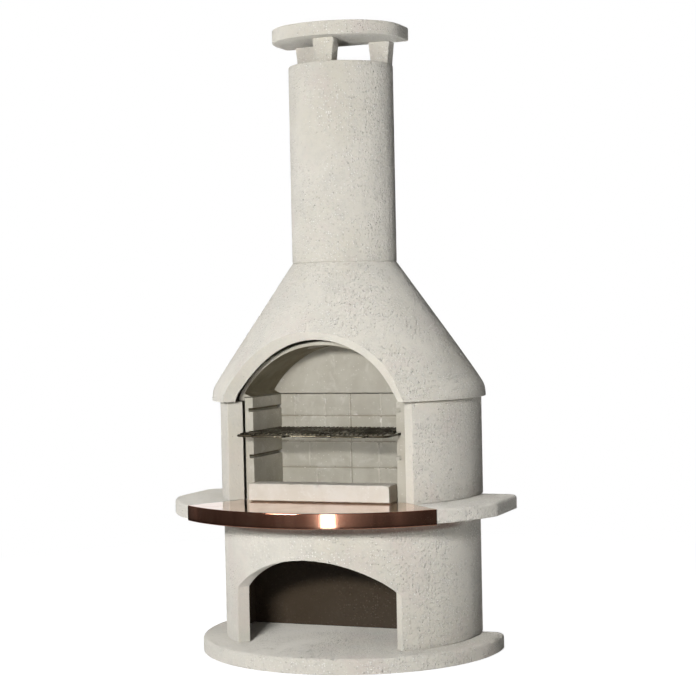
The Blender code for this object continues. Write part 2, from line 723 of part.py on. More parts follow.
def main():
    """Build every piece, from the ground up."""
    clear_scene()
    concrete = material("white_concrete", (0.70, 0.67, 0.60), 0.9)
    fire_clay = material("fire_clay", (0.52, 0.49, 0.43), 0.9)
    copper = material("copper", (0.72, 0.38, 0.27), 0.25, 1.0)
    steel = material("grate_steel", (0.45, 0.43, 0.40), 0.35, 1.0)
    make_plinth(concrete)
    make_base(concrete)
    make_table(concrete)
    make_copper(copper)
    make_firebox(concrete)
    make_liner(fire_clay)
    make_hearth(fire_clay, concrete)
    make_grate(steel)
    make_cowl(fire_clay)
    make_hood(concrete)
    make_flue(concrete)
    make_cap(concrete)


main()
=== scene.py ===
"""Visual model of a garden barbecue: cast shells, a lined hearth, a copper edge and a wire grate."""

import logging
import math
import random
from collections.abc import Callable, Iterable, Sequence
from dataclasses import dataclass, field
from enum import Enum

import bmesh
import bpy
from mathutils import Matrix, Vector, noise


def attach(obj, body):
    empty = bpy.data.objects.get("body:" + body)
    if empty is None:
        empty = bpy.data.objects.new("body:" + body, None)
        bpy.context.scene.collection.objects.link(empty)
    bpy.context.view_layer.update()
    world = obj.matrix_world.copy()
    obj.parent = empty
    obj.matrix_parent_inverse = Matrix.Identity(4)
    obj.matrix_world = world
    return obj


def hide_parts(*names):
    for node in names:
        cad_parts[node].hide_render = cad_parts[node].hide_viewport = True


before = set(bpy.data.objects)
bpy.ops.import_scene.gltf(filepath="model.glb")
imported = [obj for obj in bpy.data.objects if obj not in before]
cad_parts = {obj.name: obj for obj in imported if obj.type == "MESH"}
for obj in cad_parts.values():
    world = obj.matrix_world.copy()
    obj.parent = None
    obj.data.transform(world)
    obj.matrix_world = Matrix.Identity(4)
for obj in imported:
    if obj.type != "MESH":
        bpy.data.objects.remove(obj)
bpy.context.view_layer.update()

log = logging.getLogger("barbecue")

Spot = tuple[float, float]
SpotPair = tuple[Spot, Spot]
Plan = list[Spot]
Colour = tuple[float, float, float]
Material = bpy.types.Material
Mesh = bpy.types.Mesh

IMAGE_SIDE = 696
WHITE = (1.0, 1.0, 1.0)
WARM_WHITE = (1.0, 0.98, 0.95)
HALF_TURN = math.pi
QUARTER_TURN = math.pi / 2
# Whether a wall's side is the inner one, for both sides in turn.
OUTER_THEN_INNER = (False, True)
BACK_STEPS = 8
# Extra lines of a rounded block, as shares of its edge's radius from each face.
ROUND_EDGE_SHARES = (0.12, 0.4, 1)
# How far a wire's end stands out, in radii, and the rise and width of its rings.
WIRE_END_RISE = 0.35
WIRE_END_RINGS = ((0.6, 0.86), (1.0, 0.5))
# Points of a groove in a side panel's outline, and those whose faces lie in shade.
GROOVE_POINTS = 5
SHADED_POINTS = (2, 3)


class Body(Enum):
    """Bodies that pieces move with."""

    MASONRY = "masonry"
    GRATE = "grate"
    EMBER_BAR = "ember_bar"


class Slot(Enum):
    """Material slots of the part's record."""

    CONCRETE = "white_concrete"
    CLAY = "fire_clay"
    COPPER = "copper"
    STEEL = "grate_steel"


class Face(Enum):
    """Material index of a face on a cast piece."""

    SKIN = 0
    CUT = 1
    INSIDE = 2


def srgb(red: int, green: int, blue: int) -> Colour:
    """Turn a display colour into scene light.

    Args:
        red: Red level, 0 to 255.
        green: Green level, 0 to 255.
        blue: Blue level, 0 to 255.

    Returns:
        The colour as three linear values.
    """

    def linear(level: int) -> float:
        """Undo the display curve of one level."""
        share = level / 255
        return share / 12.92 if share <= 0.04045 else ((share + 0.055) / 1.055) ** 2.4

    return linear(red), linear(green), linear(blue)


def blend(low: float, high: float, share: float) -> float:
    """Value at a share of the way from low to high."""
    return low + (high - low) * share


def smooth_share(value: float, low: float, high: float) -> float:
    """Ease from 0 at low to 1 at high."""
    share = min(max((value - low) / (high - low), 0.0), 1.0)
    return share * share * (3 - 2 * share)


def spread(low: float, high: float, steps: int) -> list[float]:
    """Evenly spaced values from low to high, one more than steps."""
    return [blend(low, high, step / steps) for step in range(steps + 1)]


def quarter_turns(steps: int) -> list[float]:
    """Angles from 0 to a quarter turn, one more than steps."""
    return [QUARTER_TURN * step / steps for step in range(steps + 1)]


def circle_turns(sides: int) -> list[float]:
    """Angles round a circle, one for each side."""
    return [2 * math.pi * number / sides for number in range(sides)]


def link_object(name: str, data: bpy.types.ID) -> bpy.types.Object:
    """Add an object to the scene.

    Args:
        name: Name of the object.
        data: Its mesh, light or camera.

    Returns:
        The object.
    """
    made = bpy.data.objects.new(name, data)
    bpy.context.scene.collection.objects.link(made)
    return made


class Wire:
    """A shader socket that takes part in sums."""

    def __init__(self, graph: "Graph", socket: bpy.types.NodeSocket | None) -> None:
        """Keep the graph and the socket."""
        self.graph = graph
        self.socket = socket

    def _math(self, operation: str, first: "Wire | float", second: "Wire | float") -> "Wire":
        """Add a Math node on two values."""
        return self.graph.node("ShaderNodeMath", {"operation": operation}, {0: first, 1: second})

    def __add__(self, other: "Wire | float") -> "Wire":
        """Sum of two values."""
        return self._math("ADD", self, other)

    def __radd__(self, other: float) -> "Wire":
        """Sum with a number on the left."""
        return self._math("ADD", other, self)

    def __sub__(self, other: "Wire | float") -> "Wire":
        """Difference of two values."""
        return self._math("SUBTRACT", self, other)

    def __rsub__(self, other: float) -> "Wire":
        """Difference from a number on the left."""
        return self._math("SUBTRACT", other, self)

    def __mul__(self, other: "Wire | float") -> "Wire":
        """Product of two values."""
        return self._math("MULTIPLY", self, other)

    def __rmul__(self, other: float) -> "Wire":
        """Product with a number on the left."""
        return self._math("MULTIPLY", other, self)

    def above(self, edge: float, width: float) -> "Wire":
        """Soft step that rises from 0 to 1 over a width around an edge.

        Args:
            edge: Value at the middle of the step.
            width: Width of the step.

        Returns:
            The step as a value between 0 and 1.
        """
        inputs = {"Value": self, "From Min": edge - width / 2, "From Max": edge + width / 2}
        settings = {"interpolation_type": "SMOOTHSTEP", "clamp": True}
        return self.graph.node("ShaderNodeMapRange", settings, inputs)


class Graph:
    """Node tree of one finish."""

    def __init__(self, tree: bpy.types.NodeTree) -> None:
        """Start from an empty tree."""
        self.tree = tree
        tree.nodes.clear()

    def node(
        self, kind: str, settings: dict[str, object], inputs: dict[int | str, object], output: int | str = 0
    ) -> Wire:
        """Add one node.

        Args:
            kind: Blender's name of the node type.
            settings: Properties that are set first.
            inputs: Value or link of each socket, by index or name.
            output: Socket that is returned, by index or name.

        Returns:
            The chosen output.
        """
        made = self.tree.nodes.new(kind)
        for name, value in settings.items():
            setattr(made, name, value)
        for key, value in inputs.items():
            socket = made.inputs[key]
            if isinstance(value, Wire):
                self.tree.links.new(value.socket, socket)
            elif isinstance(value, tuple) and len(value) == 3 and len(socket.default_value) == 4:
                socket.default_value = (*value, 1.0)
            else:
                socket.default_value = value
        return Wire(self, made.outputs[output] if made.outputs else None)

    def place(self) -> Wire:
        """Position on the piece, in metres."""
        return self.node("ShaderNodeTexCoord", {}, {}, "Object")

    def along(self, axis: str) -> Wire:
        """Position on the piece along one axis, in metres."""
        return self.node("ShaderNodeSeparateXYZ", {}, {0: self.place()}, axis)

    def stretched(self, scale: Colour) -> Wire:
        """Position on the piece, stretched along its axes."""
        return self.node("ShaderNodeVectorMath", {"operation": "MULTIPLY"}, {0: self.place(), 1: scale})

    def cloud(self, per_metre: float, detail: float, roughness: float = 0.55, at: Wire | None = None) -> Wire:
        """Soft noise with a number of blotches per metre."""
        inputs = {"Vector": at or self.place(), "Scale": per_metre, "Detail": detail, "Roughness": roughness}
        return self.node("ShaderNodeTexNoise", {}, inputs, "Fac")

    def cells(self, per_metre: float, output: str) -> Wire:
        """Scattered cells with a number per metre."""
        inputs = {"Vector": self.place(), "Scale": per_metre, "Randomness": 1.0}
        return self.node("ShaderNodeTexVoronoi", {}, inputs, output)

    def tinted(self, base: Colour, *layers: tuple[Wire, Colour]) -> Wire:
        """Lay colours over a base colour.

        Args:
            base: Colour below all layers.
            *layers: Share and colour of each layer, from the lowest up.

        Returns:
            The mixed colour.
        """
        settings = {"data_type": "RGBA", "blend_type": "MIX", "clamp_factor": True}
        colour: Wire | Colour = base
        for share, tint in layers:
            colour = self.node("ShaderNodeMix", settings, {0: share, 6: colour, 7: tint}, 2)
        return colour

    def relief(self, height: Wire, depth: float, under: Wire | None = None) -> Wire:
        """Bump of a surface.

        Args:
            height: Height of the relief, 0 to 1.
            depth: What a height of 1 stands for, in metres.
            under: Relief that this one lies on.

        Returns:
            The normal.
        """
        inputs: dict[int | str, object] = {"Strength": 1.0, "Distance": depth, "Height": height}
        if under is not None:
            inputs["Normal"] = under
        return self.node("ShaderNodeBump", {}, inputs)

    def glow(self, colour: Colour, strength: float) -> Wire:
        """Shader that gives off a plain light."""
        return self.node("ShaderNodeEmission", {}, {"Color": colour, "Strength": strength})

    def between(self, share: Wire, first: Wire, second: Wire) -> Wire:
        """Shader between two others, by the second one's share."""
        return self.node("ShaderNodeMixShader", {}, {0: share, 1: first, 2: second})

    def use(self, shader: Wire) -> None:
        """Take a shader as the material's surface."""
        self.node("ShaderNodeOutputMaterial", {}, {"Surface": shader})

    def surface(self, inputs: dict[int | str, object]) -> None:
        """Complete the tree with a Principled surface."""
        self.use(self.node("ShaderNodeBsdfPrincipled", {}, inputs))

    def pores(self, per_metre: float, kept_share: float, size: float) -> Wire:
        """Round pits in some of the scattered cells.

        Args:
            per_metre: Cells per metre.
            kept_share: Share of the cells that hold a pit.
            size: Radius of a pit as a share of a cell.

        Returns:
            A mask that is 1 in the pits.
        """
        draw = self.node("ShaderNodeSeparateColor", {}, {0: self.cells(per_metre, "Color")}, 0)
        kept = draw.above(1 - kept_share, 0.02)
        near = 1 - self.cells(per_metre, "Distance").above(size, size * 0.7)
        return kept * near


def blank_material(name: str) -> tuple[Material, Graph]:
    """Add a material without nodes.

    Args:
        name: Name of the material.

    Returns:
        The material and its empty graph.
    """
    material = bpy.data.materials.new(name)
    material.use_nodes = True
    return material, Graph(material.node_tree)


@dataclass(frozen=True)
class CastConcrete:
    """White cast concrete with faint mottling, painted highlights on raised grains, painted shade in dips and
    pits, and a brown painted shadow with painted copper reflection in front above a set height.
    """

    name: str = "white_cast_concrete"
    tone: Colour = srgb(223, 219, 210)
    warm: Colour = srgb(214, 209, 195)
    grey: Colour = srgb(206, 204, 197)
    rose: Colour = srgb(219, 210, 203)
    # pale: painted highlights on raised grains. pit: painted shade in dips and pits, and fine sand specks.
    pale: Colour = srgb(248, 246, 241)
    pit: Colour = srgb(140, 133, 120)
    wave_depth: float = 0.0022
    grain_depth: float = 0.0044
    pit_depth: float = 0.0026
    grain_share: float = 1.0
    pit_share: float = 0.30
    # These five fields paint a brown shadow, with a painted copper reflection, on the front of the wall just
    # under the copper edge.
    stain_and_shadow: Colour = srgb(132, 94, 74)
    shadow_z: float = 9.0
    shadow_fade: float = 0.012
    shadow_end_y: float = -0.12
    shadow_end_fade: float = 0.1

    def make(self) -> Material:
        """Build the material.

        Returns:
            The material.
        """
        material, graph = blank_material(self.name)
        fine = graph.cloud(55, 6, 0.6)
        sand = graph.cloud(420, 3, 0.7)
        across = graph.along("X")
        zone = graph.cloud(7, 4, 0.6) + across.above(0.02, 0.3) * 0.05
        zone = zone.above(0.45, 0.24) * (across.above(-0.1, 0.45) * 0.6 + 0.4)
        lumps = graph.cloud(105, 2, 0.5).above(0.5, 0.3) * zone
        bumps = graph.pores(128, 0.46, 0.32) * zone * self.grain_share
        dips = graph.pores(124, 0.3, 0.28) * zone * self.grain_share
        pits = graph.pores(60, self.pit_share, 0.13) * (zone * 0.6 + 0.4)
        # Mask of the painted shadow and painted copper reflection: the front of the wall, above a height.
        front = 1 - graph.along("Y").above(self.shadow_end_y, self.shadow_end_fade)
        shadowed = graph.along("Z").above(self.shadow_z, self.shadow_fade) * front
        # Raised grains are painted pale as highlights, and dips and pits darker as painted shade. Both are
        # strongest where zone is high, which leans to the right side, where the light grazes.
        colour = graph.tinted(
            self.tone,
            (graph.cloud(2.6, 4).above(0.56, 0.22) * 0.45, self.warm),
            (graph.cloud(9, 5, 0.6).above(0.57, 0.16) * 0.28, self.grey),
            (graph.cloud(5.5, 4).above(0.60, 0.14) * 0.5, self.rose),
            (fine.above(0.56, 0.14) * 0.25, self.grey),
            (bumps * 0.9, self.pale),
            (dips * 0.16, self.pit),
            (pits * 0.5, self.pit),
            (sand.above(0.62, 0.1) * 0.08, self.pit),
            (shadowed * 0.65, self.stain_and_shadow),
        )
        wave = graph.relief(graph.cloud(110, 3, 0.6), self.wave_depth)
        raised = graph.relief(bumps - dips + lumps * 0.35 + sand * 0.12, self.grain_depth, wave)
        holes = graph.relief(1 - pits, self.pit_depth, raised)
        rough = 0.84 + fine * 0.12
        inputs = {"Base Color": colour, "Roughness": rough, "Normal": holes, "Specular IOR Level": 0.35}
        graph.surface({**inputs, "Diffuse Roughness": 1.0})
        return material


@dataclass(frozen=True)
class FireClay:
    """Grey refractory casting with pale swirls and flecks."""

    name: str
    tone: Colour
    dark: Colour
    pale: Colour
    swirl_share: float = 0.15
    soot: float = 0.25
    flecks: float = 0.7

    def make(self) -> Material:
        """Build the material.

        Returns:
            The material.
        """
        material, graph = blank_material(self.name)
        warp_inputs = {"Vector": graph.place(), "Scale": 7.0, "Detail": 3.0}
        warp = graph.node("ShaderNodeTexNoise", {}, warp_inputs, "Color")
        pushed = graph.node("ShaderNodeVectorMath", {"operation": "SCALE"}, {0: warp, "Scale": 0.16})
        moved = graph.node("ShaderNodeVectorMath", {"operation": "ADD"}, {0: graph.place(), 1: pushed})
        swirl = graph.cloud(26, 5, 0.62, moved)
        sand = graph.cloud(380, 3, 0.7)
        colour = graph.tinted(
            self.tone,
            (graph.cloud(11, 4).above(0.5, 0.3) * 0.8, self.dark),
            (swirl.above(0.6, 0.1) * self.swirl_share, self.pale),
            (graph.pores(110, 0.2, 0.22) * self.flecks, self.pale),
            (graph.pores(90, 0.2, 0.2) * 0.5, self.dark),
            (graph.cloud(3.2, 4).above(0.52, 0.3) * self.soot, self.dark),
        )
        wave = graph.relief(graph.cloud(70, 4, 0.6), 0.0012)
        grain = graph.relief(sand, 0.0006, wave)
        rough = 0.86 + sand * 0.12
        graph.surface({"Base Color": colour, "Roughness": rough, "Normal": grain, "Specular IOR Level": 0.3})
        return material


@dataclass(frozen=True)
class CopperSheet:
    """Bright copper with rolling waves, haze and a few darker stains."""

    name: str = "copper_sheet"
    bright: Colour = srgb(216, 158, 134)
    stain_and_shadow: Colour = srgb(168, 108, 86)
    haze: Colour = srgb(228, 184, 164)

    def make(self) -> Material:
        """Build the material.

        Returns:
            The material.
        """
        material, graph = blank_material(self.name)
        bands = graph.cloud(1.0, 4, 0.55, graph.stretched((16, 16, 3)))
        streak = graph.cloud(1.0, 3, 0.6, graph.stretched((260, 260, 22)))
        colour = graph.tinted(
            self.bright,
            (bands.above(0.55, 0.25) * 0.55, self.stain_and_shadow),
            (graph.cloud(24, 5, 0.6).above(0.62, 0.12) * 0.35, self.haze),
        )
        rough = 0.05 + bands * 0.06 + streak * 0.05
        wave = graph.relief(graph.cloud(1.0, 2, 0.4, graph.stretched((9, 9, 2))), 0.0012)
        line = graph.relief(streak, 0.00003, wave)
        graph.surface({"Base Color": colour, "Metallic": 1.0, "Roughness": rough, "Normal": line})
        return material


@dataclass(frozen=True)
class PlatedWire:
    """Plated steel wire, browned by heat."""

    name: str = "plated_wire"
    bright: Colour = srgb(98, 93, 81)
    brown: Colour = srgb(66, 60, 48)

    def make(self) -> Material:
        """Build the material.

        Returns:
            The material.
        """
        material, graph = blank_material(self.name)
        spots = graph.cloud(160, 4, 0.65)
        dull = graph.cloud(22, 2).above(0.47, 0.1)
        colour = graph.tinted(
            self.bright,
            (graph.cloud(10, 4).above(0.48, 0.22) * 0.75, self.brown),
            (spots.above(0.6, 0.12) * 0.25, self.brown),
        )
        rough = 0.2 + spots * 0.12 + dull * 0.36
        grain = graph.relief(spots, 0.00005)
        graph.surface({"Base Color": colour, "Metallic": 1.0, "Roughness": rough, "Normal": grain})
        return material


class Shape:
    """Points and faces of one piece while it is built."""

    def __init__(self) -> None:
        """Start empty."""
        self.points: list[Vector] = []
        self.faces: list[tuple[int, ...]] = []
        self.indexes: list[int] = []

    def row(self, points: Iterable[Sequence[float]]) -> list[int]:
        """Add a row of points.

        Args:
            points: Places of the points.

        Returns:
            The points' numbers.
        """
        start = len(self.points)
        self.points += [Vector(point) for point in points]
        return list(range(start, len(self.points)))

    def face(self, corners: Sequence[int], kind: Face = Face.SKIN) -> None:
        """Add one face."""
        self.faces.append(tuple(corners))
        self.indexes.append(kind.value)

    def bridge(self, low: list[int], high: list[int], closed: bool = True, kind: Face = Face.SKIN) -> None:
        """Join two rows of equal length with four-sided faces.

        Args:
            low: Numbers of the first row's points.
            high: Numbers of the second row's points.
            closed: Whether the last points are joined to the first.
            kind: Kind of the faces.
        """
        count = len(low)
        for here in range(count if closed else count - 1):
            there = (here + 1) % count
            self.face((low[here], low[there], high[there], high[here]), kind)

    def draft(self, name: str) -> Mesh:
        """Turn the shape into a mesh as it stands.

        Args:
            name: Name of the mesh.

        Returns:
            The mesh.
        """
        mesh = bpy.data.meshes.new(name)
        mesh.from_pydata([tuple(point) for point in self.points], [], self.faces)
        mesh.polygons.foreach_set("material_index", self.indexes)
        return mesh

    def mesh(self, name: str) -> Mesh:
        """Turn the closed shape into a smooth mesh with outward faces.

        Args:
            name: Name of the mesh.

        Returns:
            The mesh.
        """
        mesh = self.draft(name)
        work = bmesh.new()
        work.from_mesh(mesh)
        bmesh.ops.recalc_face_normals(work, faces=work.faces)
        if work.calc_volume(signed=True) < 0:
            bmesh.ops.reverse_faces(work, faces=work.faces)
        work.to_mesh(mesh)
        work.free()
        mesh.shade_smooth()
        return mesh


def arc(radius: float, x: float, y: float, start: float, end: float, steps: int) -> Plan:
    """Points of an arc whose angle is measured from the front, positive to the right.

    Args:
        radius: Radius of the arc.
        x: Centre's place across.
        y: Centre's place from front to back.
        start: First angle.
        end: Last angle.
        steps: Number of steps.

    Returns:
        One point more than steps.
    """
    return [(x + radius * math.sin(a), y - radius * math.cos(a)) for a in spread(start, end, steps)]


def mirrored(right_half: Plan) -> Plan:
    """Complete a plan from its right half, which runs from the front to the back."""
    return right_half + [(-x, y) for x, y in reversed(right_half) if x > 1e-6]


@dataclass
class RoundFrontPlan:
    """Plan with a round front, a straight back and rounded back corners."""

    radius: float
    centre_y: float
    back_y: float
    corner: float
    front_steps: int = 72
    corner_steps: int = 10

    def inset(self, depth: float) -> Plan:
        """Outline drawn in by a depth.

        Args:
            depth: How far the outline is drawn in.

        Returns:
            The outline, from the front round to the front.
        """
        radius, corner, back_y = self.radius - depth, self.corner - depth, self.back_y - depth
        corner_y = back_y - corner
        corner_x = math.sqrt((radius - corner) ** 2 - (corner_y - self.centre_y) ** 2)
        meet = math.atan2(corner_x, self.centre_y - corner_y)
        half = arc(radius, 0, self.centre_y, 0, meet, self.front_steps)
        rear = arc(corner, corner_x, corner_y, meet, HALF_TURN, self.corner_steps)
        return mirrored(half + rear[1:])


@dataclass
class WideSlabPlan:
    """Plan with a shallow round front, straight sides and rounded corners."""

    half_width: float
    radius: float
    centre_y: float
    back_y: float
    front_corner: float
    back_corner: float
    front_steps: int = 72
    corner_steps: int = 10

    def inset(self, depth: float) -> Plan:
        """Outline drawn in by a depth.

        Args:
            depth: How far the outline is drawn in.

        Returns:
            The outline, from the front round to the front.
        """
        half_width, radius = self.half_width - depth, self.radius - depth
        front, back = self.front_corner - depth, self.back_corner - depth
        x = half_width - front
        y = self.centre_y - math.sqrt((radius - front) ** 2 - x * x)
        meet = math.atan2(x, self.centre_y - y)
        half = arc(radius, 0, self.centre_y, 0, meet, self.front_steps)
        half += arc(front, x, y, meet, QUARTER_TURN, self.corner_steps)[1:]
        back_y = self.back_y - depth - back
        rear = arc(back, half_width - back, back_y, QUARTER_TURN, HALF_TURN, self.corner_steps)
        return mirrored(half + rear)


def cast_slab(
    name: str, outline: Callable[[float], Plan], low: float, high: float, low_round: float, high_round: float
) -> Mesh:
    """Cast slab whose lower and upper edges are rounded.

    Args:
        name: Name of the mesh.
        outline: Gives the plan drawn in by a depth.
        low: Height of the underside.
        high: Height of the top.
        low_round: Radius of the lower edge.
        high_round: Radius of the upper edge.

    Returns:
        The mesh.
    """
    turns = [(math.sin(turn), math.cos(turn)) for turn in quarter_turns(6)]
    rows = [(low_round * (1 - sine), low + low_round * (1 - cosine)) for sine, cosine in turns]
    rows += [(high_round * (1 - cosine), high - high_round * (1 - sine)) for sine, cosine in turns]
    shape = Shape()
    rings = [shape.row((x, y, z) for x, y in outline(depth)) for depth, z in rows]
    for below, above in zip(rings, rings[1:]):
        shape.bridge(below, above)
    shape.face(list(reversed(rings[0])))
    shape.face(rings[-1])
    return shape.mesh(name)


@dataclass
class Station:
    """One upright line of a shell wall, on its outer and inner side."""

    outer: list[Vector]
    inner: list[Vector]
    lower_outer: list[Vector] = field(default_factory=list)
    lower_inner: list[Vector] = field(default_factory=list)


def shell(name: str, stations: list[Station], closed: bool, inside: Face = Face.SKIN) -> Mesh:
    """Wall that follows stations; where they have no lower part the wall has an opening.

    Args:
        name: Name of the mesh.
        stations: Lines of the wall in order.
        closed: Whether the last station joins the first.
        inside: Kind of the faces on the inner side.

    Returns:
        The mesh, with its cut faces in their own material.
    """
    shape = Shape()
    # Each station has four rows: outer, inner, lower outer and lower inner.
    rows = [
        [shape.row(line) for line in (station.outer, station.inner, station.lower_outer, station.lower_inner)]
        for station in stations
    ]
    sides = ((0, Face.SKIN), (1, inside))
    for here, there in zip(rows, rows[1:] + rows[:1] if closed else rows[1:]):
        for side, kind in sides:
            shape.bridge(here[side], there[side], closed=False, kind=kind)
        shape.face((here[0][-1], there[0][-1], there[1][-1], here[1][-1]), Face.CUT)
        if here[2] and there[2]:
            for side, kind in sides:
                below = here[side + 2] + [here[side][0]]
                beside = there[side + 2] + [there[side][0]]
                shape.bridge(below, beside, closed=False, kind=kind)
            shape.face((here[2][0], there[2][0], there[3][0], here[3][0]), Face.CUT)
        else:
            shape.face((here[0][0], there[0][0], there[1][0], here[1][0]), Face.CUT)
            for edge in (row for row in (here, there) if row[2]):
                shape.bridge(edge[2] + [edge[0][0]], edge[3] + [edge[1][0]], closed=False, kind=Face.CUT)
    if not closed:
        for end in (rows[0], rows[-1]):
            shape.bridge(end[2] + end[0], end[3] + end[1], closed=False, kind=Face.CUT)
    return shape.mesh(name)


def rounded_block(name: str, low: Vector, high: Vector, radius: float, pitch: float) -> Mesh:
    """Block with rounded edges and a regular net of points.

    Args:
        name: Name of the mesh.
        low: Lowest corner.
        high: Highest corner.
        radius: Radius of the edges.
        pitch: Rough distance between points.

    Returns:
        The mesh.
    """
    work = bmesh.new()
    bmesh.ops.create_cube(work, size=1)
    size, middle = high - low, (high + low) / 2
    for axis in range(3):
        cuts = max(2, round(size[axis] / pitch))
        lines = spread(-0.5, 0.5, cuts)[1:-1]
        for share in ROUND_EDGE_SHARES:
            inset = 0.5 - radius / size[axis] * share
            lines += [-inset, inset]
        normal = Vector([float(number == axis) for number in range(3)])
        for place in sorted(lines):
            geometry = work.verts[:] + work.edges[:] + work.faces[:]
            bmesh.ops.bisect_plane(work, geom=geometry, plane_co=normal * place, plane_no=normal, dist=1e-6)
    for vert in work.verts:
        point = Vector(vert.co[axis] * size[axis] for axis in range(3))
        core = Vector(
            min(max(point[axis], radius - size[axis] / 2), size[axis] / 2 - radius) for axis in range(3)
        )
        away = point - core
        if away.length > 1e-9:
            point = core + away.normalized() * radius
        vert.co = middle + point
    mesh = bpy.data.meshes.new(name)
    work.to_mesh(mesh)
    work.free()
    mesh.shade_smooth()
    return mesh


def relief_panel(
    name: str,
    low: Vector,
    high: Vector,
    axis: int,
    pitch: float,
    height: Callable[[float, float], float],
    levels: tuple[float, float],
) -> Mesh:
    """Panel with one worked face, whose relief comes from a height function.

    Args:
        name: Name of the mesh.
        low: Lowest corner.
        high: Highest corner.
        axis: 1 for a face to the front, 2 for a face upward.
        pitch: Distance between points.
        height: Depth of the face below its highest level at two places across it.
        levels: Depths from which faces take the rim's and the joint's finish.

    Returns:
        The mesh.
    """
    other = 3 - axis
    across = max(2, round((high.x - low.x) / pitch))
    along = max(2, round((high[other] - low[other]) / pitch))
    shape = Shape()
    sign = 1 if axis == 1 else -1
    front, back = (low[axis], high[axis]) if axis == 1 else (high[axis], low[axis])

    def point(x: float, other_place: float, level: float) -> Vector:
        """Point at two places across the panel and a level through it."""
        return Vector((x, level, other_place) if axis == 1 else (x, other_place, level))

    grid = []
    xs = spread(low.x, high.x, across)
    for place in spread(low[other], high[other], along):
        grid.append(shape.row(point(x, place, front + sign * height(x, place)) for x in xs))
    for here, there in zip(grid, grid[1:]):
        for a, b, c, d in zip(here, here[1:], there[1:], there):
            depth = sum(abs(shape.points[corner][axis] - front) for corner in (a, b, c, d)) / 4
            deep = Face.CUT if depth > levels[1] else Face.SKIN
            shape.face((a, b, c, d), Face.INSIDE if levels[0] < depth <= levels[1] else deep)
    rim = grid[0] + [row[-1] for row in grid[1:]] + grid[-1][-2::-1] + [row[0] for row in grid[-2:0:-1]]
    behind = shape.row(point(shape.points[i].x, shape.points[i][other], back) for i in rim)
    shape.bridge(rim, behind)
    shape.face(behind)
    return shape.mesh(name)


def add_wire(
    shape: Shape, route: Sequence[Vector], radius: float, closed: bool = False, sides: int = 14
) -> None:
    """Add a round wire along a route.

    Args:
        shape: Shape that takes the wire.
        route: Points of its centre line.
        radius: Radius of the wire.
        closed: Whether the route is a ring.
        sides: Points around the wire.
    """
    count = len(route)
    rings = []
    up = Vector((0, 0, 1))

    def ring(centre: Vector, direction: Vector, size: float) -> list[int]:
        """Circle of points square to a direction.

        Args:
            centre: Middle of the circle.
            direction: Direction of the wire there.
            size: Radius of the circle.

        Returns:
            The points' numbers.
        """
        side = direction.cross(up)
        side = side.normalized() if side.length > 1e-6 else Vector((1, 0, 0))
        top = side.cross(direction).normalized()
        across, up_wire = side * size, top * size
        turns = circle_turns(sides)
        return shape.row(centre + across * math.cos(turn) + up_wire * math.sin(turn) for turn in turns)

    for index, centre in enumerate(route):
        before = route[index - 1] if closed or index else centre
        after = route[(index + 1) % count] if closed or index < count - 1 else centre
        rings.append(ring(centre, (after - before).normalized(), radius))
    if not closed:
        for end, inner in ((0, 1), (-1, -2)):
            outward = (route[end] - route[inner]).normalized()
            along = outward if end else -outward
            extra = [
                ring(route[end] + outward * radius * WIRE_END_RISE * rise, along, radius * width)
                for rise, width in WIRE_END_RINGS
            ]
            rings = rings + extra if end else extra[::-1] + rings
        shape.face(rings[0])
        shape.face(list(reversed(rings[-1])))
    for here, there in zip(rings, rings[1:] + rings[:1] if closed else rings[1:]):
        shape.bridge(here, there)


def add_bead(shape: Shape, centre: Vector, size: Vector) -> None:
    """Add a small weld bead, a squashed ball.

    Args:
        shape: Shape that takes the bead.
        centre: Middle of the bead.
        size: Half sizes of the bead.
    """
    sides, levels = 10, 6
    rings = []
    for level in range(1, levels):
        tilt = HALF_TURN * level / levels
        x, y, z = size.x * math.sin(tilt), size.y * math.sin(tilt), size.z * math.cos(tilt)
        turns = circle_turns(sides)
        rings.append(
            shape.row(centre + Vector((x * math.cos(turn), y * math.sin(turn), z)) for turn in turns)
        )
    for here, there in zip(rings, rings[1:]):
        shape.bridge(here, there)
    shape.face(rings[0])
    shape.face(list(reversed(rings[-1])))


@dataclass
class Piece:
    """One visible piece: its body, slot, finishes and the nodes that it stands for."""

    mesh: Mesh
    body: Body
    slot: Slot
    finishes: Sequence[Material]
    nodes: Sequence[str]
    edge: float = 0.0
    edge_angle: float = 40.0
    edge_steps: int = 3

    def show(self) -> bpy.types.Object:
        """Link the piece, round its edges and let it ride on its body.

        Returns:
            The piece's object.
        """
        made = link_object(self.mesh.name, self.mesh)
        for finish in self.finishes:
            self.mesh.materials.append(finish)
        if self.edge:
            bevel = made.modifiers.new("rounded_edges", "BEVEL")
            bevel.width = self.edge
            bevel.segments = self.edge_steps
            bevel.limit_method = "ANGLE"
            bevel.angle_limit = math.radians(self.edge_angle)
        normals = made.modifiers.new("even_shading", "WEIGHTED_NORMAL")
        normals.keep_sharp = True
        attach(made, self.body.value)
        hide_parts(*self.nodes)
        log.info("%s rides on %s and stands for %s", made.name, self.body.value, ", ".join(self.nodes))
        return made


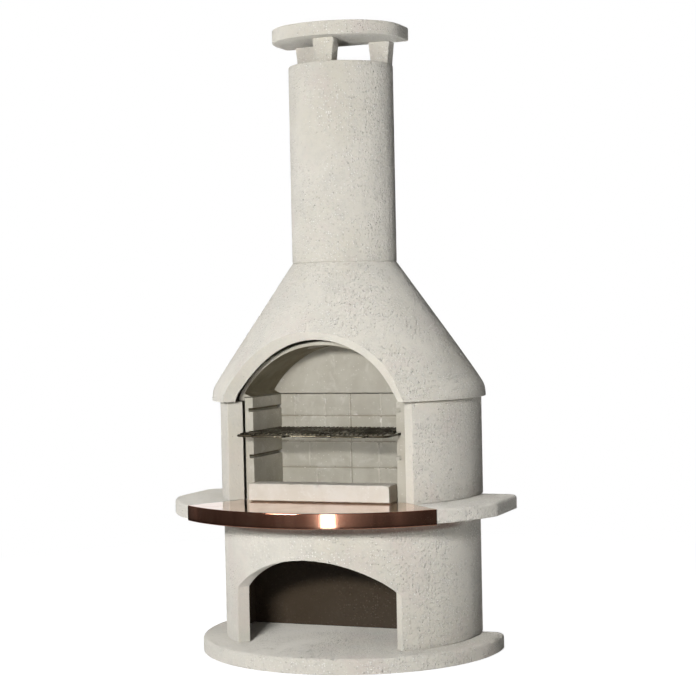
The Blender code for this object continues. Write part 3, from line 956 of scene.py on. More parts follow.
@dataclass
class Finishes:
    """All materials of the object."""

    concrete: Material
    shadowed_concrete: Material
    cut_concrete: Material
    shaded_inner_concrete: Material
    clay: Material
    shaded_clay: Material
    joint_clay: Material
    rim_clay: Material
    floor_clay: Material
    ember_clay: Material
    shaded_end_clay: Material
    copper: Material
    sheen_copper: Material
    wire: Material

    @classmethod
    def make(cls) -> "Finishes":
        """Build every material.

        Returns:
            The materials, each in its field.
        """
        recipes = {
            "concrete": CastConcrete(),
            # The base's wall copy carries a painted shadow with painted copper reflection under the copper
            # edge.
            "shadowed_concrete": CastConcrete(name="cast_concrete_painted_shadow", shadow_z=0.436),
            "cut_concrete": CastConcrete(
                name="smooth_cast_concrete",
                tone=srgb(221, 217, 206),
                warm=srgb(214, 208, 194),
                wave_depth=0.0014,
                pit_share=0.14,
                grain_share=0.25,
                grain_depth=0.0010,
                pit_depth=0.0012,
            ),
            # Inner faces of the log store are dark brown as painted shade.
            "shaded_inner_concrete": CastConcrete(
                name="inner_concrete_painted_shade",
                tone=srgb(84, 72, 58),
                warm=srgb(72, 60, 46),
                grey=srgb(92, 82, 70),
                rose=srgb(88, 70, 56),
                pale=srgb(110, 100, 86),
                pit=srgb(46, 38, 30),
            ),
            "clay": FireClay(
                "pale_fire_clay",
                tone=srgb(200, 196, 183),
                dark=srgb(184, 179, 165),
                pale=srgb(226, 223, 215),
                swirl_share=0.3,
            ),
            # Groove faces and the arch's inner side are darker as painted shade.
            "shaded_clay": FireClay(
                "fire_clay_painted_shade",
                tone=srgb(148, 141, 120),
                dark=srgb(120, 112, 93),
                pale=srgb(162, 155, 137),
                flecks=0.2,
            ),
            "joint_clay": FireClay(
                "joint_fire_clay",
                tone=srgb(177, 171, 157),
                dark=srgb(158, 151, 135),
                pale=srgb(198, 193, 181),
                flecks=0.3,
            ),
            "rim_clay": FireClay(
                "flecked_fire_clay",
                tone=srgb(212, 208, 197),
                dark=srgb(190, 184, 170),
                pale=srgb(236, 234, 228),
                swirl_share=0.6,
                soot=0.1,
            ),
            "floor_clay": FireClay(
                "hearth_fire_clay",
                tone=srgb(200, 194, 180),
                dark=srgb(168, 161, 146),
                pale=srgb(220, 215, 204),
                swirl_share=0.3,
                soot=0.4,
            ),
            "ember_clay": FireClay(
                "cream_fire_clay",
                tone=srgb(230, 225, 216),
                dark=srgb(218, 211, 198),
                pale=srgb(240, 237, 231),
                swirl_share=0.3,
                soot=0.2,
            ),
            # The ember bar's right end is darker as painted shade.
            "shaded_end_clay": FireClay(
                "fire_clay_painted_end_shade",
                tone=srgb(176, 168, 154),
                dark=srgb(150, 142, 126),
                pale=srgb(196, 190, 178),
                swirl_share=0.3,
                soot=0.5,
            ),
            "copper": CopperSheet(),
            # The top face's copy of the copper is paler: painted sheen for the reflections it catches at a
            # low angle.
            "sheen_copper": CopperSheet(
                "copper_top_painted_sheen",
                bright=srgb(233, 206, 190),
                stain_and_shadow=srgb(214, 180, 160),
                haze=srgb(240, 220, 206),
            ),
            "wire": PlatedWire(),
        }
        return cls(**{place: recipe.make() for place, recipe in recipes.items()})

    def cast(self) -> tuple[Material, Material, Material]:
        """Materials of a cast shell, by face kind, the last dark as painted shade for inner faces."""
        return self.concrete, self.cut_concrete, self.shaded_inner_concrete

    def lined(self) -> tuple[Material, Material]:
        """Materials of a lining piece, by face kind, the second darker as painted shade."""
        return self.clay, self.shaded_clay

    def bricked(self) -> tuple[Material, Material, Material]:
        """Materials of the back panel, by face kind."""
        return self.clay, self.joint_clay, self.rim_clay


@dataclass
class Plinth:
    """Half-round slab on the ground."""

    plan: RoundFrontPlan = field(default_factory=lambda: RoundFrontPlan(0.523, 0.0, 0.093, 0.040))
    low: float = 0.0
    high: float = 0.050
    low_round: float = 0.003
    high_round: float = 0.012

    def build(self) -> Mesh:
        """Cast the slab."""
        rounds = self.low_round, self.high_round
        return cast_slab("plinth_casting", self.plan.inset, self.low, self.high, *rounds)

    def dress(self, finishes: Finishes) -> None:
        """Show the slab in concrete."""
        Piece(self.build(), Body.MASONRY, Slot.CONCRETE, finishes.cast(), ["plinth_slab"]).show()


@dataclass
class RoundWall:
    """Upright round wall with a flat back, as two arcs and their back planes."""

    radius: float
    centre_y: float
    thickness: float
    low: float
    high: float
    back_y: float = 0.093

    def side(self, inner: bool) -> tuple[float, float]:
        """Radius and back plane of the outer or the inner side."""
        depth = self.thickness if inner else 0.0
        return self.radius - depth, self.back_y - depth

    def end_angle(self, inner: bool) -> float:
        """Angle at which one side's arc meets its back plane."""
        radius, back_y = self.side(inner)
        return math.acos((self.centre_y - back_y) / radius)

    def spot(self, angle: float, inner: bool) -> Spot:
        """Place on one side at an angle from the front."""
        radius, _ = self.side(inner)
        return radius * math.sin(angle), self.centre_y - radius * math.cos(angle)

    def lines(self, start: float, steps: int) -> list[SpotPair]:
        """Outer and inner places round the wall.

        Args:
            start: Angle of the opening's right edge.
            steps: Steps along each half of the round.

        Returns:
            The places, from the opening's right edge round the back to its left edge.
        """
        sides = OUTER_THEN_INNER
        turns = [spread(start, self.end_angle(inner), steps) for inner in sides]
        right = [tuple(self.spot(turn, inner) for turn, inner in zip(pair, sides)) for pair in zip(*turns)]
        left = [tuple((-x, y) for x, y in pair) for pair in reversed(right)]
        back = [
            tuple((blend(a[0], b[0], step / BACK_STEPS), a[1]) for a, b in zip(right[-1], left[0]))
            for step in range(1, BACK_STEPS)
        ]
        return right + back + left

    @staticmethod
    def columns(pair: SpotPair, levels: Sequence[float]) -> list[list[Vector]]:
        """Outer and inner columns of points at one place."""
        return [[Vector((x, y, z)) for z in levels] for x, y in pair]

    def stations(self, start: float, steps: int, rows: int) -> list[Station]:
        """Stations of the wall's full height, with the places of lines and a number of rows."""
        levels = spread(self.low, self.high, rows)
        return [Station(*self.columns(pair, levels)) for pair in self.lines(start, steps)]


@dataclass
class ArchedBase:
    """Round base with an arched store in its front."""

    wall: RoundWall = field(default_factory=lambda: RoundWall(0.4446, 0.0047, 0.045, 0.0503, 0.4791))
    half_width: float = 0.2908
    crown_height: float = 0.3005
    arch_radius: float = 0.429
    edge: float = 0.004
    wall_steps: int = 30
    arch_steps: int = 44
    rows_above: int = 12
    rows_below: int = 8

    def build(self) -> Mesh:
        """Cast the wall with its opening.

        Returns:
            The mesh.
        """
        wall = self.wall
        jamb = math.asin(self.half_width / wall.radius)
        drop = self.arch_radius
        crown = wall.low + self.crown_height

        def arch(x: float) -> float:
            """Height of the arch at a place across."""
            return crown - drop + math.sqrt(drop * drop - x * x)

        spring = arch(self.half_width)
        upper = spread(spring, wall.high, self.rows_above)
        lower = spread(wall.low, spring, self.rows_below)[:-1]
        stations = [
            Station(*wall.columns(pair, upper), *wall.columns(pair, lower))
            for pair in wall.lines(jamb, self.wall_steps)
        ]
        for angle in spread(-jamb, jamb, self.arch_steps)[1:-1]:
            levels = spread(arch(wall.radius * math.sin(angle)), wall.high, self.rows_above)
            pair = tuple(wall.spot(angle, inner) for inner in OUTER_THEN_INNER)
            stations.append(Station(*wall.columns(pair, levels)))
        # Its inner faces take the third material, dark as painted shade.
        return shell("log_store_casting", stations, closed=True, inside=Face.INSIDE)

    def dress(self, finishes: Finishes) -> None:
        """Show the wall in concrete, with a painted shadow and painted copper reflection below the copper."""
        faces = (finishes.shadowed_concrete, *finishes.cast()[1:])
        Piece(self.build(), Body.MASONRY, Slot.CONCRETE, faces, ["base_shell"], edge=self.edge).show()


@dataclass
class Table:
    """Wide slab with its copper edge."""

    plan: WideSlabPlan = field(
        default_factory=lambda: WideSlabPlan(0.578, 0.60359, -0.01211, 0.081, 0.012, 0.045)
    )
    low: float = 0.4794
    high: float = 0.5244
    low_round: float = 0.003
    high_round: float = 0.010
    gap: float = 0.0003
    sheet: float = 0.001
    left_reach: float = 0.404
    right_reach: float = 0.447
    drop: float = 0.005
    fold: float = 0.0035
    hem: float = 0.0026
    hem_rise: float = 1.2
    hem_gap: float = 0.001
    rear_corner: tuple[float, float] = (0.2882, -0.2607)
    throat: tuple[float, float] = (0.2553, -0.2435)

    def build_slab(self) -> Mesh:
        """Cast the slab."""
        rounds = self.low_round, self.high_round
        return cast_slab("table_casting", self.plan.inset, self.low, self.high, *rounds)

    def build_copper(self) -> Mesh:
        """Fold the sheet over the slab's front edge.

        Returns:
            The mesh, a sheet without thickness whose faces look outward.
        """
        outer = self.plan.radius + self.gap + self.sheet
        top = self.high + self.gap + self.sheet
        start, end = -math.asin(self.left_reach / outer), math.asin(self.right_reach / outer)
        fold, hem = self.fold, self.hem
        hem_z = self.low - self.drop + hem * self.hem_rise
        rows = [(fold * (1 - math.sin(turn)), top - fold * (1 - math.cos(turn))) for turn in quarter_turns(6)]
        rows += [(0.0, z) for z in spread(top - fold, hem_z + self.hem_gap, 6)[1:]]
        rows += [(hem * (1 - math.cos(turn)), hem_z - hem * math.sin(turn)) for turn in quarter_turns(5)[1:]]
        shape = Shape()
        grid = []
        for depth, z in rows:
            line = arc(outer - depth, 0, self.plan.centre_y, start, end, 96)
            grid.append(shape.row((x, y, z) for x, y in line))
        for here, there in zip(grid, grid[1:]):
            shape.bridge(here, there, closed=False)
        corner_x, corner_y = self.rear_corner
        throat_x, throat_y = self.throat
        rear = [(corner_x, corner_y), (throat_x, corner_y), (throat_x, throat_y)]
        rear += [(-x, y) for x, y in reversed(rear)]
        # The top face takes the paler copper as painted sheen.
        shape.face(grid[0] + shape.row((x, y, top) for x, y in rear), Face.CUT)
        mesh = shape.draft("copper_edging")
        work = bmesh.new()
        work.from_mesh(mesh)
        bmesh.ops.recalc_face_normals(work, faces=work.faces)
        if max(work.faces, key=lambda item: item.calc_area()).normal.z < 0:
            bmesh.ops.reverse_faces(work, faces=work.faces)
        bmesh.ops.triangulate(work, faces=[item for item in work.faces if len(item.verts) > 4])
        work.to_mesh(mesh)
        work.free()
        mesh.shade_smooth()
        return mesh

    def dress(self, finishes: Finishes) -> None:
        """Show the slab in concrete and its edging in copper, whose top face is paler as painted sheen.

        Args:
            finishes: All materials.
        """
        Piece(self.build_slab(), Body.MASONRY, Slot.CONCRETE, finishes.cast(), ["table_slab"]).show()
        faces = [finishes.copper, finishes.sheen_copper]
        copper = Piece(self.build_copper(), Body.MASONRY, Slot.COPPER, faces, ["copper_trim"]).show()
        # The sheet gets its thickness first, so that the shading is evened on the folded solid.
        thickness = copper.modifiers.new("sheet", "SOLIDIFY")
        thickness.thickness = self.sheet
        thickness.offset = -1
        copper.modifiers.move(1, 0)


@dataclass
class Firebox:
    """Round wall behind the fire, open at the front between two columns."""

    wall: RoundWall = field(default_factory=lambda: RoundWall(0.453, 0.013, 0.0555, 0.5247, 0.8572))
    column_half_width: float = 0.3285
    edge: float = 0.004
    steps: int = 40
    rows: int = 14

    def build(self) -> Mesh:
        """Cast the wall.

        Returns:
            The mesh.
        """
        opening = math.asin(self.column_half_width / self.wall.radius)
        stations = self.wall.stations(opening, self.steps, self.rows)
        return shell("firebox_casting", stations, closed=False)

    def dress(self, finishes: Finishes) -> None:
        """Show the wall in concrete."""
        faces = finishes.cast()
        Piece(self.build(), Body.MASONRY, Slot.CONCRETE, faces, ["firebox_shell"], edge=self.edge).show()


@dataclass
class Lining:
    """Fire-clay lining: grooved side panels, a back with brick relief and a tiled floor."""

    half: float = 0.2563
    thickness: float = 0.0265
    left_extra: float = 0.0034
    right_extra: float = 0.0050
    low: float = 0.5247
    height: float = 0.3455
    front_y: float = -0.250
    back_face_y: float = -0.005
    back_thickness: float = 0.039
    groove_floors: tuple[float, ...] = (0.140, 0.220, 0.297)
    groove_height: float = 0.012
    groove_depth: float = 0.0157
    groove_shade: float = 0.4
    gap: float = 0.0003
    side_edge: float = 0.0018
    course: float = 0.0895
    joint: float = 0.0050
    joint_core: float = 0.28
    joint_reach: float = 0.95
    joint_depth: float = 0.0038
    joint_wander: float = 0.0012
    middle_half: float = 0.02
    brick_wear: float = 0.0008
    brick_coarse: float = 0.0006
    brick_fine: float = 0.00035
    brick_chip: float = 0.0015
    brick_pitch: float = 0.0024
    brick_levels: tuple[float, float] = (0.0022, 0.0034)
    upright_share: float = 0.6
    upright_joints: tuple[tuple[float, ...], ...] = (
        (-0.126, 0.002, 0.104),
        (-0.153, 0.002, 0.104, 0.205),
        (-0.205, -0.092, 0.002, 0.114),
        (-0.205, -0.092, 0.002, 0.114),
    )
    floor_thickness: float = 0.030
    floor_front_y: float = -0.242
    tile_joints: tuple[float, ...] = (-0.128, 0.0, 0.128)
    tile_joint_y: float = -0.1235
    tile_joint_core: float = 0.0012
    tile_joint_reach: float = 0.0045
    tile_joint_depth: float = 0.0028
    tile_wear: float = 0.0006
    tile_rough: float = 0.0005
    tile_pitch: float = 0.004
    tile_levels: tuple[float, float] = (1.0, 1.0)

    def build_side(self, name: str, side: int) -> Mesh:
        """Cast one side panel with its grooves.

        Args:
            name: Name of the mesh.
            side: -1 for the left panel, 1 for the right one.

        Returns:
            The mesh, with the shaded faces of its grooves in their own material.
        """
        outline = [(self.half, self.low)]
        for rise in self.groove_floors:
            floor, roof = self.low + rise, self.low + rise + self.groove_height
            deep = self.half + self.groove_depth
            shade = blend(floor, roof, self.groove_shade)
            outline += [(self.half, floor), (deep, floor), (deep, shade), (deep, roof), (self.half, roof)]
        top = self.low + self.height
        outer = self.half + self.thickness + (self.right_extra if side > 0 else self.left_extra)
        outline += [(self.half, top), (outer, top), (outer, self.low)]
        shape = Shape()
        depths = spread(self.front_y, self.back_face_y - self.gap, 10)
        rings = [shape.row((side * x, y, z) for x, z in outline) for y in depths]
        count = len(outline)
        for here, there in zip(rings, rings[1:]):
            for spot in range(count):
                after = (spot + 1) % count
                in_groove = 0 < spot <= GROOVE_POINTS * len(self.groove_floors)
                # Faces deep in a groove take the darker clay as painted shade.
                dark = in_groove and (spot - 1) % GROOVE_POINTS in SHADED_POINTS
                corners = (here[spot], here[after], there[after], there[spot])
                shape.face(corners, Face.CUT if dark else Face.SKIN)
        shape.face(list(reversed(rings[0])))
        shape.face(rings[-1])
        return shape.mesh(name)

    def brick_depth(self, x: float, z: float) -> float:
        """Depth of the back panel's face below the bricks' highest level.

        Args:
            x: Place across the panel.
            z: Height.

        Returns:
            The depth.
        """
        rise = z - self.low
        number = int(max(rise, 0) // self.course)
        up = min(abs(rise - self.course * line) for line in range(1, 4))
        uprights = self.upright_joints[min(number, len(self.upright_joints) - 1)]
        wander = noise.noise(Vector((x * 30, z * 30, 3.0))) * self.joint_wander
        across = min(abs(x - line) for line in uprights)
        core, reach = self.joint * self.joint_core, self.joint * self.joint_reach
        level = 1 - smooth_share(up + wander, core, reach)
        upright = 1 - smooth_share(across + wander, core, reach)
        joint = max(level, upright * (1.0 if abs(x) < self.middle_half else self.upright_share))
        coarse = noise.noise(Vector((x * 45, 0.0, z * 45))) * self.brick_coarse
        fine = noise.noise(Vector((x * 160, 7.0, z * 160))) * self.brick_fine
        chip = smooth_share(noise.noise(Vector((x * 24, 11.0, z * 24))), 0.42, 0.6) * self.brick_chip
        return max(0.0, self.joint_depth * joint + self.brick_wear + (coarse + fine) + chip * (1 - joint))

    def build_back(self) -> Mesh:
        """Cast the back panel.

        Returns:
            The mesh.
        """
        reach = self.half + self.thickness
        low = Vector((-reach, self.back_face_y, self.low))
        high = Vector((reach, self.back_face_y + self.back_thickness, self.low + self.height))
        pitch, levels = self.brick_pitch, self.brick_levels
        return relief_panel("brick_back_panel", low, high, 1, pitch, self.brick_depth, levels)

    def tile_depth(self, x: float, y: float) -> float:
        """Depth of the floor below its highest level.

        Args:
            x: Place across the floor.
            y: Place from front to back.

        Returns:
            The depth.
        """
        across = min(abs(x - line) for line in self.tile_joints)
        along = abs(y - self.tile_joint_y)
        joint = 1 - smooth_share(min(across, along), self.tile_joint_core, self.tile_joint_reach)
        rough = noise.noise(Vector((x * 60, y * 60, 2.0))) * self.tile_rough
        return max(0.0, self.tile_joint_depth * joint + self.tile_wear + rough)

    def build_floor(self) -> Mesh:
        """Cast the floor behind the ember bar.

        Returns:
            The mesh.
        """
        reach = self.half - 0.001
        low = Vector((-reach, self.floor_front_y, self.low))
        high = Vector((reach, self.back_face_y - self.gap, self.low + self.floor_thickness))
        pitch, levels = self.tile_pitch, self.tile_levels
        return relief_panel("hearth_floor_tiles", low, high, 2, pitch, self.tile_depth, levels)

    def dress(self, finishes: Finishes) -> None:
        """Show the lining in fire clay.

        Args:
            finishes: All materials.
        """
        for name, side in (("left", -1), ("right", 1)):
            panel = self.build_side(f"side_panel_{name}", side)
            faces, nodes = finishes.lined(), [f"liner_{name}"]
            Piece(panel, Body.MASONRY, Slot.CLAY, faces, nodes, edge=self.side_edge).show()
        Piece(self.build_back(), Body.MASONRY, Slot.CLAY, finishes.bricked(), ["liner_back"]).show()
        Piece(self.build_floor(), Body.MASONRY, Slot.CLAY, [finishes.floor_clay], ["hearth_floor"]).show()


@dataclass
class Dent:
    """Dent in the ember bar's front edges: its place, its width and its depth."""

    x: float
    z: float
    width: float
    depth: float


@dataclass
class EmberBar:
    """Loose square bar in front of the embers, with worn edges."""

    low: Vector = field(default_factory=lambda: Vector((-0.247, -0.3215, 0.526)))
    high: Vector = field(default_factory=lambda: Vector((0.2535, -0.2435, 0.587)))
    edge: float = 0.0035
    pitch: float = 0.0065
    wear: float = 0.0004
    coarse: float = 0.0005
    fine: float = 0.0004
    inward_x: float = 0.1
    end_slope: float = 0.8
    toe_depth: float = 0.020
    toe_fade: float = 0.014
    toe_lift: float = 0.0042
    dents: tuple[Dent, ...] = (
        Dent(-0.095, 0.587, 0.010, 0.0035),
        Dent(-0.002, 0.587, 0.008, 0.0090),
        Dent(-0.214, 0.587, 0.008, 0.0025),
        Dent(0.166, 0.5845, 0.007, 0.0022),
        Dent(0.2535, 0.587, 0.014, 0.0060),
        Dent(0.021, 0.526, 0.012, 0.0025),
    )

    def build(self) -> Mesh:
        """Cast the bar and wear its edges.

        Returns:
            The mesh, with its right end in its own material.
        """
        mesh = rounded_block("ember_block", self.low, self.high, self.edge, self.pitch)
        middle = (self.low + self.high) / 2
        for vert in mesh.vertices:
            inward = middle - vert.co
            inward.x *= self.inward_x
            inward.normalize()
            coarse = self.coarse * noise.noise(vert.co * 55)
            depth = self.wear + coarse + self.fine * noise.noise(vert.co * 140)
            for dent in self.dents:
                spot = Vector((dent.x, self.low.y, dent.z))
                depth += dent.depth * math.exp(-((vert.co - spot).length / dent.width) ** 2)
            vert.co += inward * max(depth, 0.0)
            # The front foot is hollow: it rises towards the front face.
            run = max(1 - (vert.co.y - self.low.y) / self.toe_depth, 0)
            rise = max(1 - (vert.co.z - self.low.z) / self.toe_fade, 0)
            vert.co.z += self.toe_lift * run * rise
        # The right end's faces take the darker clay as painted shade.
        for face in mesh.polygons:
            if face.normal.x > self.end_slope and face.center.x > self.high.x - 2 * self.edge:
                face.material_index = Face.CUT.value
        return mesh

    def dress(self, finishes: Finishes) -> None:
        """Show the bar in cream fire clay, its right end darker as painted shade."""
        faces = [finishes.ember_clay, finishes.shaded_end_clay]
        Piece(self.build(), Body.EMBER_BAR, Slot.CONCRETE, faces, ["ember_bar"]).show()


@dataclass
class Grate:
    """Welded wire grate: rail frame, rods, braces and two pull loops."""

    half_width: float = 0.270
    front_y: float = -0.368
    back_y: float = -0.028
    rail_radius: float = 0.004
    rail_z: float = 0.749
    rod_z: float = 0.7558
    brace_z: float = 0.7513
    rail_corner: float = 0.016
    rod_radius: float = 0.0025
    rod_pitch: float = 0.0165
    side_margin: float = 0.020
    end_margin: float = 0.001
    brace_radius: float = 0.003
    brace_shares: tuple[float, float] = (0.33, 0.67)
    loop_radius: float = 0.003
    loop_width: float = 0.120
    loop_reach: float = 0.030
    loop_corner: float = 0.010
    loop_offset: float = 0.140
    sway: float = 0.0005
    sag: float = 0.0002
    rail_bead: tuple[float, float] = (0.0036, 0.0034)
    brace_bead: tuple[float, float] = (0.0026, 0.0028)
    loop_bead: tuple[float, float, float] = (0.0046, 0.0028, 0.0042)
    bead_range: tuple[float, float] = (0.9, 1.15)
    bead_squash: float = 0.75

    @staticmethod
    def corner(centre: Vector, start: Vector, end: Vector, steps: int = 8) -> list[Vector]:
        """Quarter of a circle about a centre, from one arm to the other."""
        turns = quarter_turns(steps)
        return [centre + start * math.cos(turn) + end * math.sin(turn) for turn in turns]

    def build_frame(self) -> Mesh:
        """Bend the rail frame.

        Returns:
            The mesh.
        """
        x, radius = self.half_width - self.rail_radius, self.rail_corner
        front, back = self.front_y + self.rail_radius, self.back_y - self.rail_radius
        across, along = Vector((radius, 0, 0)), Vector((0, radius, 0))
        places = [
            (Vector((x, front, self.rail_z)), -along, across),
            (Vector((x, back, self.rail_z)), across, along),
            (Vector((-x, back, self.rail_z)), along, -across),
            (Vector((-x, front, self.rail_z)), -across, -along),
        ]
        route: list[Vector] = []
        for place, start, end in places:
            bent = self.corner(place - start - end, start, end)
            if route:
                route.append((route[-1] + bent[0]) / 2)
            route += bent
        shape = Shape()
        add_wire(shape, route, self.rail_radius, closed=True, sides=16)
        return shape.mesh("grate_rail_frame")

    def build_rods(self) -> Mesh:
        """Lay the rods on the frame and braces, with a weld bead at each crossing.

        Returns:
            The mesh.
        """
        draw = random.Random(11)
        shape = Shape()
        span = 2 * (self.half_width - self.side_margin)
        gaps = round(span / self.rod_pitch)
        front, back = self.front_y + self.end_margin, self.back_y - self.end_margin
        depth = self.back_y - self.front_y
        rails = [self.front_y + self.rail_radius, self.back_y - self.rail_radius]
        braces = [self.front_y + depth * share for share in self.brace_shares]
        crossings = [(y, self.rail_z, *self.rail_bead) for y in rails]
        crossings += [(y, self.brace_z, *self.brace_bead) for y in braces]
        for index in range(gaps + 1):
            x = span * index / gaps - span / 2
            sway = [draw.uniform(-self.sway, self.sway) for _ in range(3)]
            route = [
                Vector((x + sway[0], front, self.rod_z)),
                Vector((x + sway[1], blend(front, back, 0.35), self.rod_z - self.sag)),
                Vector((x + sway[1], blend(front, back, 0.65), self.rod_z - self.sag)),
                Vector((x + sway[2], back, self.rod_z)),
            ]
            add_wire(shape, route, self.rod_radius, sides=12)
            for y, wire_z, lift, size in crossings:
                wide = size * draw.uniform(*self.bead_range)
                place = Vector((x + sway[1] * 0.5, y, wire_z + lift))
                add_bead(shape, place, Vector((wide, wide * 0.9, size * self.bead_squash)))
        reach = span / 2 + self.rod_radius + self.brace_radius
        for y in braces:
            ends = [Vector((x, y, self.brace_z)) for x in (-reach, reach)]
            add_wire(shape, ends, self.brace_radius)
        return shape.mesh("grate_rod_field")

    def build_loop(self, name: str, side: int) -> Mesh:
        """Bend one pull loop.

        Args:
            name: Name of the mesh.
            side: -1 for the left loop, 1 for the right one.

        Returns:
            The mesh.
        """
        middle, half, radius = side * self.loop_offset, self.loop_width / 2, self.loop_corner
        start, end = self.front_y + 0.001, self.front_y - self.loop_reach
        across, along = Vector((radius, 0, 0)), Vector((0, radius, 0))
        near, far = middle - half, middle + half
        route = [Vector((near, start, self.rail_z))]
        route += self.corner(Vector((near + radius, end + radius, self.rail_z)), -across, -along)
        route += self.corner(Vector((far - radius, end + radius, self.rail_z)), -along, across)
        route.append(Vector((far, start, self.rail_z)))
        shape = Shape()
        add_wire(shape, route, self.loop_radius)
        for x in (near, far):
            add_bead(shape, Vector((x, self.front_y - 0.0005, self.rail_z)), Vector(self.loop_bead))
        return shape.mesh(name)

    def dress(self, finishes: Finishes) -> None:
        """Show the grate in plated wire.

        Args:
            finishes: All materials.
        """
        wire = [finishes.wire]
        Piece(self.build_frame(), Body.GRATE, Slot.STEEL, wire, ["grate_frame"]).show()
        Piece(self.build_rods(), Body.GRATE, Slot.STEEL, wire, ["grate_rods"]).show()
        for name, side in (("left", -1), ("right", 1)):
            loop = self.build_loop(f"grate_loop_{name}", side)
            Piece(loop, Body.GRATE, Slot.STEEL, wire, [f"grate_handle_{name}"]).show()


@dataclass
class Cowl:
    """Arched tunnel above the lining with a round smoke outlet."""

    half_width: float = 0.306
    rise: float = 0.185
    wall: float = 0.014
    low: float = 0.8724
    foot_low: float = 0.8585
    foot_x: float = 0.2862
    front_y: float = -0.252
    back_face_y: float = -0.005
    back_wall: float = 0.040
    flange: float = 0.012
    flange_x: float = 0.2583
    outlet: float = 0.095
    edge: float = 0.003

    @staticmethod
    def arch(radius: float, centre_z: float, low: float, steps: int = 60) -> Plan:
        """Arc from the left foot to the right foot at a height."""
        swing = math.acos(min(1.0, (low - centre_z) / radius))
        return [(radius * math.sin(a), centre_z + radius * math.cos(a)) for a in spread(-swing, swing, steps)]

    def build(self) -> Mesh:
        """Cast the tunnel and its back.

        Returns:
            The mesh, without its outlet.
        """
        radius = (self.half_width**2 + self.rise**2) / (2 * self.rise)
        centre_z = self.low + self.rise - radius
        outer = self.arch(radius, centre_z, self.low)
        inner = self.arch(radius - self.wall, centre_z, self.low + self.flange)
        inner = [(-self.flange_x, self.low), *inner, (self.flange_x, self.low)]
        legs = [(-self.foot_x, self.low), (-self.foot_x, self.foot_low), (-self.half_width, self.foot_low)]
        outer = legs + outer + [(-x, z) for x, z in reversed(legs)]
        shape = Shape()
        rows = []
        for y in (self.front_y, self.back_face_y):
            rows.append([shape.row((x, y, z) for x, z in line) for line in (outer, inner)])
        rear = shape.row((x, self.back_face_y + self.back_wall, z) for x, z in outer)
        (front_outer, front_inner), (back_outer, back_inner) = rows
        shape.bridge(front_outer, back_outer, closed=False)
        shape.bridge(back_outer, rear, closed=False)
        # The arch's inner side takes the darker clay as painted shade.
        shape.bridge(front_inner, back_inner, closed=False, kind=Face.CUT)
        shape.face(front_outer + list(reversed(front_inner)))
        shape.face(back_inner)
        shape.face(rear)
        for end in (0, -1):
            shape.face((front_outer[end], back_outer[end], back_inner[end], front_inner[end]))
        shape.face((rear[0], rear[-1], back_outer[-1], back_inner[-1], back_inner[0], back_outer[0]))
        return shape.mesh("cowl_casting")

    def cutter(self) -> bpy.types.Object:
        """Make the round plug that cuts the outlet.

        Returns:
            The plug's object.
        """
        shape = Shape()
        middle = (self.front_y + self.back_face_y) / 2
        rings = []
        for z in (self.low + 0.1, self.low + self.rise + 0.02):
            plan = arc(self.outlet, 0, middle, 0, 2 * math.pi, 48)[:-1]
            rings.append(shape.row((x, y, z) for x, y in plan))
        shape.bridge(*rings)
        shape.face(rings[0])
        shape.face(list(reversed(rings[1])))
        return link_object("outlet_plug", shape.mesh("outlet_plug"))

    def dress(self, finishes: Finishes) -> None:
        """Show the tunnel in fire clay and cut its outlet.

        Args:
            finishes: All materials.
        """
        faces = finishes.lined()
        made = Piece(self.build(), Body.MASONRY, Slot.CLAY, faces, ["inner_cowl"], edge=self.edge).show()
        plug = self.cutter()
        # The outlet is cut before the shading is evened, and the mesh is kept as it comes out.
        cut = made.modifiers.new("outlet", "BOOLEAN")
        cut.solver = "EXACT"
        cut.object = plug
        made.modifiers.move(2, 1)
        evaluated = made.evaluated_get(bpy.context.evaluated_depsgraph_get())
        mesh = bpy.data.meshes.new_from_object(evaluated)
        made.modifiers.clear()
        made.data = mesh
        mesh.name = "cowl_casting"
        bpy.data.objects.remove(plug, do_unlink=True)


